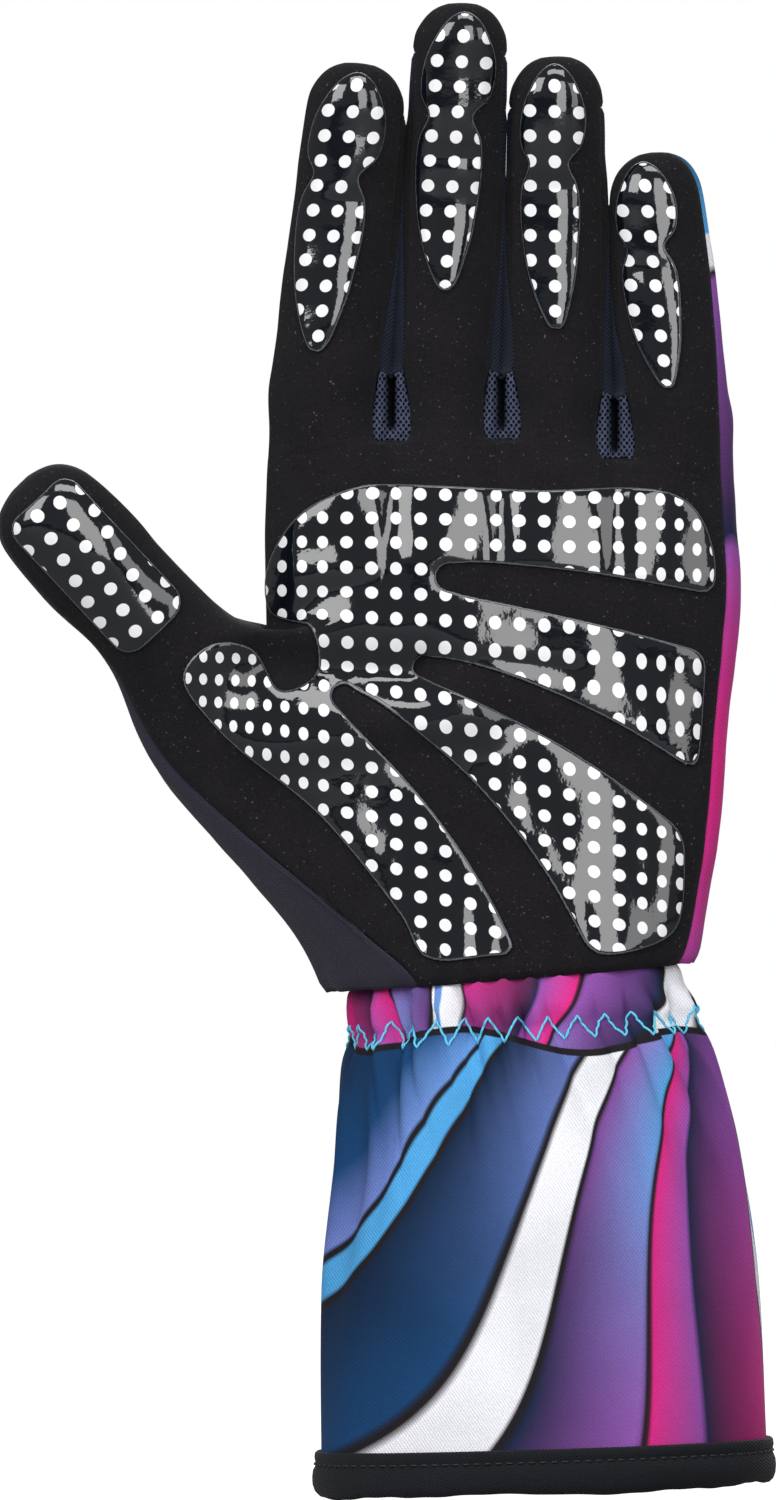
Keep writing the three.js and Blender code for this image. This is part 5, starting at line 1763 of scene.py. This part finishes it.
def grid_faces(rows, columns):
    numbers = np.arange(rows * columns).reshape(rows, columns)
    corners = [numbers[:-1, :-1], numbers[1:, :-1], numbers[1:, 1:], numbers[:-1, 1:]]
    return np.stack(corners, -1).reshape(-1, 4)


def grid_normals(grid):
    down = np.gradient(grid, axis=0)
    across = np.gradient(grid, axis=1)
    normals = np.cross(down, across)
    return normals / np.linalg.norm(normals, axis=2, keepdims=True)


cuff_normals = grid_normals(cuff_grid)
ends = (cuff_normals[:, 0] + cuff_normals[:, -1]) / 2
cuff_normals[:, 0] = cuff_normals[:, -1] = ends / np.linalg.norm(ends, axis=1, keepdims=True)
front_column = int(np.argmin(cuff_grid[-1, :, 1]))
if cuff_normals[-1, front_column, 1] > 0:
    cuff_normals = -cuff_normals
cuff_faces = grid_faces(len(shares), CUFF_AROUND + 1)
cuff_both, cuff_every = thicken(
    cuff_grid.reshape(-1, 3), cuff_normals.reshape(-1, 3), cuff_faces, FABRIC_WALL
)
cuff_places = {"cloth": np.vstack([cuff_uv.reshape(-1, 2)] * 2), "gather_shade": np.vstack([gather_uv] * 2)}
add_object("printed_cuff", cuff_both, cuff_every, CUFF_PRINT, **cuff_places)


# The hem's binding: a tape folded round the cuff's lower edge, with a stitched line

BINDING_PROFILE = table(
    "out down",
    (0.15, -0.25), (0.85, -0.35), (1.25, 0.0), (1.35, 0.9), (1.2, 1.7), (1.0, 2.1), (1.2, 2.5), (1.65, 3.4),
    (1.8, 4.8), (1.7, 6.2), (1.3, 7.3), (0.6, 8.0), (-0.5, 8.25), (-1.6, 8.0), (-2.3, 7.2), (-2.7, 6.0),
    (-2.8, 4.0), (-2.6, 2.0), (-2.4, 0.4), (-2.0, -0.2), (-1.4, -0.1), (-1.25, 1.2),
)
HEM_TOP = 1 - 0.95 * BINDING_HEIGHT / CUFF_LENGTH


def hem_ring():
    """The line where the tape starts round the cuff, and the way out from it."""
    ring = np.array([cuff_point(angle, HEM_TOP) for angle in angles[:-1]])
    along = np.roll(ring, -1, 0) - np.roll(ring, 1, 0)
    out = np.column_stack([along[:, 1], -along[:, 0], np.zeros(len(ring))])
    return ring, out / np.linalg.norm(out, axis=1, keepdims=True)


hem_line, hem_out = hem_ring()
hem_angles = angles[:-1]
pucker = 0.09 * np.sin(31 * hem_angles) + 0.3 * np.sin(9 * hem_angles + 1.3) + 0.35 * np.sin(4 * hem_angles)
binding_rows = []
for row in BINDING_PROFILE:
    drop = row["down"] * (1 + 0.03 * pucker) + 0.45 * pucker * (row["down"] > 3)
    puff = row["out"] + 0.16 * pucker * math.sin(min(row["down"], 7) * 0.45)
    binding_rows.append(hem_line + hem_out * puff[:, None] - np.outer(drop, at(0, 0, 1)))
binding_grid = np.array(binding_rows)
numbers = np.arange(binding_grid.shape[0] * CUFF_AROUND).reshape(-1, CUFF_AROUND)
wrapped = np.roll(numbers, -1, 1)
below, below_wrapped = np.roll(numbers, -1, 0), np.roll(wrapped, -1, 0)
binding_faces = np.stack([numbers, below, below_wrapped, wrapped], -1).reshape(-1, 4)
add_object("hem_tape", binding_grid.reshape(-1, 3), binding_faces, TAPE)


# Threads


def add_thread(name, lines, radius, material):
    """Threads along lines of points, in millimetres."""
    curve = bpy.data.curves.new(name, "CURVE")
    curve.dimensions = "3D"
    curve.bevel_depth = radius * MM
    curve.bevel_resolution = 2
    curve.use_fill_caps = True
    for line in lines:
        spline = curve.splines.new("POLY")
        spline.points.add(len(line) - 1)
        flat = np.column_stack([np.asarray(line) * MM, np.ones(len(line))])
        spline.points.foreach_set("co", flat.ravel())
    curve.materials.append(material)
    return link_piece(name, curve)


def cuff_surface(angle, z):
    """The cuff's surface at an angle and a height near the wrist."""
    share = 0.1
    for _ in range(6):
        top, bottom = cuff_ends(section_point(cuff_section(share), angle, 0)[0])
        share = (top - z) / (top - bottom)
    return cuff_point(angle, share)


def zigzag_lines():
    """One zigzag round the wrist. Each leg has three stitches that dip into the cloth between them."""
    turns = np.linspace(0, 2 * math.pi, 361)
    wrist = np.array([cuff_surface(turn, elastic_height(turn)) for turn in turns])
    wrist = even_out(wrist[:-1], 6)
    wrist = np.vstack([wrist, wrist[:1]])
    lengths = lengths_along(wrist)
    legs = 2 * round(lengths[-1] / ZIGZAG_PITCH)
    line = []
    for k in range(legs * ZIGZAG_STEPS):
        share = k / ZIGZAG_STEPS
        angle = np.interp(share / legs * lengths[-1], lengths, turns)
        swing = 1 - 2 * abs(share % 2 - 1)
        height = ZIGZAG_HEIGHT * (1 + 0.12 * math.sin(3 * angle + 2))
        point = cuff_surface(angle, elastic_height(angle) + swing * height / 2)
        out = unit(at(point[0] - 2.0, point[1], 0))
        line.append(point + out * (0.34 * abs(math.sin(3 * math.pi * share)) - 0.02))
    return [line + line[:1]]


add_thread("zigzag_stitch", zigzag_lines(), THREAD, CYAN_THREAD)


def hem_stitch_lines():
    """Short stitches round the tape, each with both ends sunk in it."""
    lines = []
    lift = hem_line + hem_out * 1.12 - at(0, 0, 2.1)
    dip = (-0.25, 0.12, 0.18, 0.12, -0.25)
    for k in range(HEM_STITCHES):
        start = k / HEM_STITCHES * CUFF_AROUND
        places = np.linspace(start, start + 0.62 * CUFF_AROUND / HEM_STITCHES, len(dip))
        line = []
        for place, out in zip(places, dip):
            i = int(place) % CUFF_AROUND
            j = (i + 1) % CUFF_AROUND
            line.append(lerp(lift[i], lift[j], place - int(place)) + hem_out[i] * out)
        lines.append(line)
    return lines


add_thread("hem_stitches", hem_stitch_lines(), HEM_THREAD, DARK_THREAD)


# What each piece stands for and rides on

# width and length: the flat cut of a sheet of cloth, in millimetres. part: how much of that rectangle it is.
PIECES = table(
    "piece node slot width length part held",
    ("suede_palm", "palm_panel", "suede", 150, 200, 0.613, "stretched"),
    ("printed_back", "back_panel", "printed_fabric", 118, 195, 0.731, "stretched"),
    ("thumb_side", "thumb_side_panel", "side_fabric", 85, 115, 0.578, "stretched"),
    ("twill_side_wall_index_middle", wall_name(0), "twill", 22, 62, 0.616, "stretched"),
    ("twill_side_wall_middle_ring", wall_name(1), "twill", 22, 62, 0.608, "stretched"),
    ("twill_side_wall_ring_little", wall_name(2), "twill", 22, 62, 0.513, "stretched"),
    ("knitted_mesh_gusset_index_middle", gusset_name(0), "knitted_mesh", 18, 20, 0.667, "stretched"),
    ("knitted_mesh_gusset_middle_ring", gusset_name(1), "knitted_mesh", 18, 20, 0.639, "stretched"),
    ("knitted_mesh_gusset_ring_little", gusset_name(2), "knitted_mesh", 18, 20, 0.639, "stretched"),
    ("printed_cuff", "cuff", "printed_fabric", 260, 100, 0.9, "gathered"),
    ("hem_tape", "hem_binding", "binding_tape"),
    ("grip_pad_index", "grip_index", "silicone"),
    ("grip_pad_middle", "grip_middle", "silicone"),
    ("grip_pad_ring", "grip_ring", "silicone"),
    ("grip_pad_little", "grip_little", "silicone"),
    ("grip_pad_thumb", "grip_thumb", "silicone"),
    ("grip_pad_palm", "grip_palm", "silicone"),
)
for row in PIECES:
    piece = pieces[row["piece"]]
    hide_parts(row["node"])
    "held" in row
for piece in pieces.values():
    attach(piece, "root")


# Stage, light and camera

VIEW_MIDDLE = Vector((-0.0232, 0.0, 0.0513))
VIEW_HEIGHT = 0.285
VIEW_DISTANCE = 4.0
FLOOR_REACH = 6.0
FLOOR_GLOW = 0.95
WORLD_GLOW = 0.22
LIGHT_TARGET = Vector((-0.01, 0.0, 0.05))
LIGHTS = table(
    "name x y z width height watts",
    ("front_softbox", 0.36, -1.7, 0.4, 0.6, 1.5, 12.0),
    ("left_softbox", -1.3, -1.2, 0.9, 1.0, 1.2, 20.0),
    ("right_softbox", 1.2, -1.2, 0.5, 0.6, 1.1, 5.0),
    ("top_softbox", 0.1, -0.9, 1.6, 1.2, 0.5, 10.0),
    ("back_softbox", 0.2, 1.6, 1.2, 1.4, 1.0, 14.0),
)


def add_floor():
    made = Material("pale_floor", Roughness=1.0, Specular_IOR_Level=0.0)
    speck = made.noise(made.place, 0.01, 2.0)
    made.feed("Base Color", made.mix(speck, rgb("929292"), rgb("9a9a9a")))
    made.shader.inputs["Emission Color"].default_value = (1.0, 1.0, 1.0, 1.0)
    path = made.add("ShaderNodeLightPath").outputs["Is Camera Ray"]
    glow = made.add("ShaderNodeMapRange", {0: path, 3: 0.0, 4: FLOOR_GLOW})
    made.feed("Emission Strength", glow.outputs[0])
    height = cad_box[0].z - 0.002
    corners = [(x * FLOOR_REACH, y * FLOOR_REACH, height) for x, y in ((-1, -1), (1, -1), (1, 1), (-1, 1))]
    mesh = new_mesh("floor", corners, [(0, 1, 2, 3)])
    mesh.materials.append(made.material)
    floor = bpy.data.objects.new("floor", mesh)
    bpy.context.scene.collection.objects.link(floor)


def add_light(row):
    lamp = bpy.data.lights.new(row["name"], "AREA")
    lamp.shape = "RECTANGLE"
    lamp.size, lamp.size_y = row["width"], row["height"]
    lamp.energy = row["watts"]
    light = bpy.data.objects.new(row["name"], lamp)
    light.location = place = Vector((row["x"], row["y"], row["z"]))
    light.rotation_euler = (LIGHT_TARGET - place).to_track_quat("-Z", "Y").to_euler()
    bpy.context.scene.collection.objects.link(light)


def add_world():
    """White to the camera, and a dimmer even light for everything else."""
    world = bpy.data.worlds.new("studio")
    bpy.context.scene.world = world
    world.use_nodes = True
    nodes = Nodes(world.node_tree)
    path = nodes.add("ShaderNodeLightPath").outputs["Is Camera Ray"]
    strength = nodes.add("ShaderNodeMapRange", {0: path, 3: WORLD_GLOW, 4: 1.0}).outputs[0]
    background = world.node_tree.nodes["Background"]
    background.inputs["Color"].default_value = (1.0, 1.0, 1.0, 1.0)
    world.node_tree.links.new(strength, background.inputs["Strength"])


def add_camera():
    lens = bpy.data.cameras.new("camera")
    lens.sensor_width = 36.0
    lens.lens = 36.0 * VIEW_DISTANCE / VIEW_HEIGHT
    camera = bpy.data.objects.new("camera", lens)
    camera.location = VIEW_MIDDLE - Vector((0.0, VIEW_DISTANCE, 0.0))
    camera.rotation_euler = (math.pi / 2, 0.0, 0.0)
    bpy.context.scene.collection.objects.link(camera)
    bpy.context.scene.camera = camera


add_floor()
add_world()
for row in LIGHTS:
    add_light(row)
add_camera()
bpy.context.scene.view_settings.view_transform = "Standard"
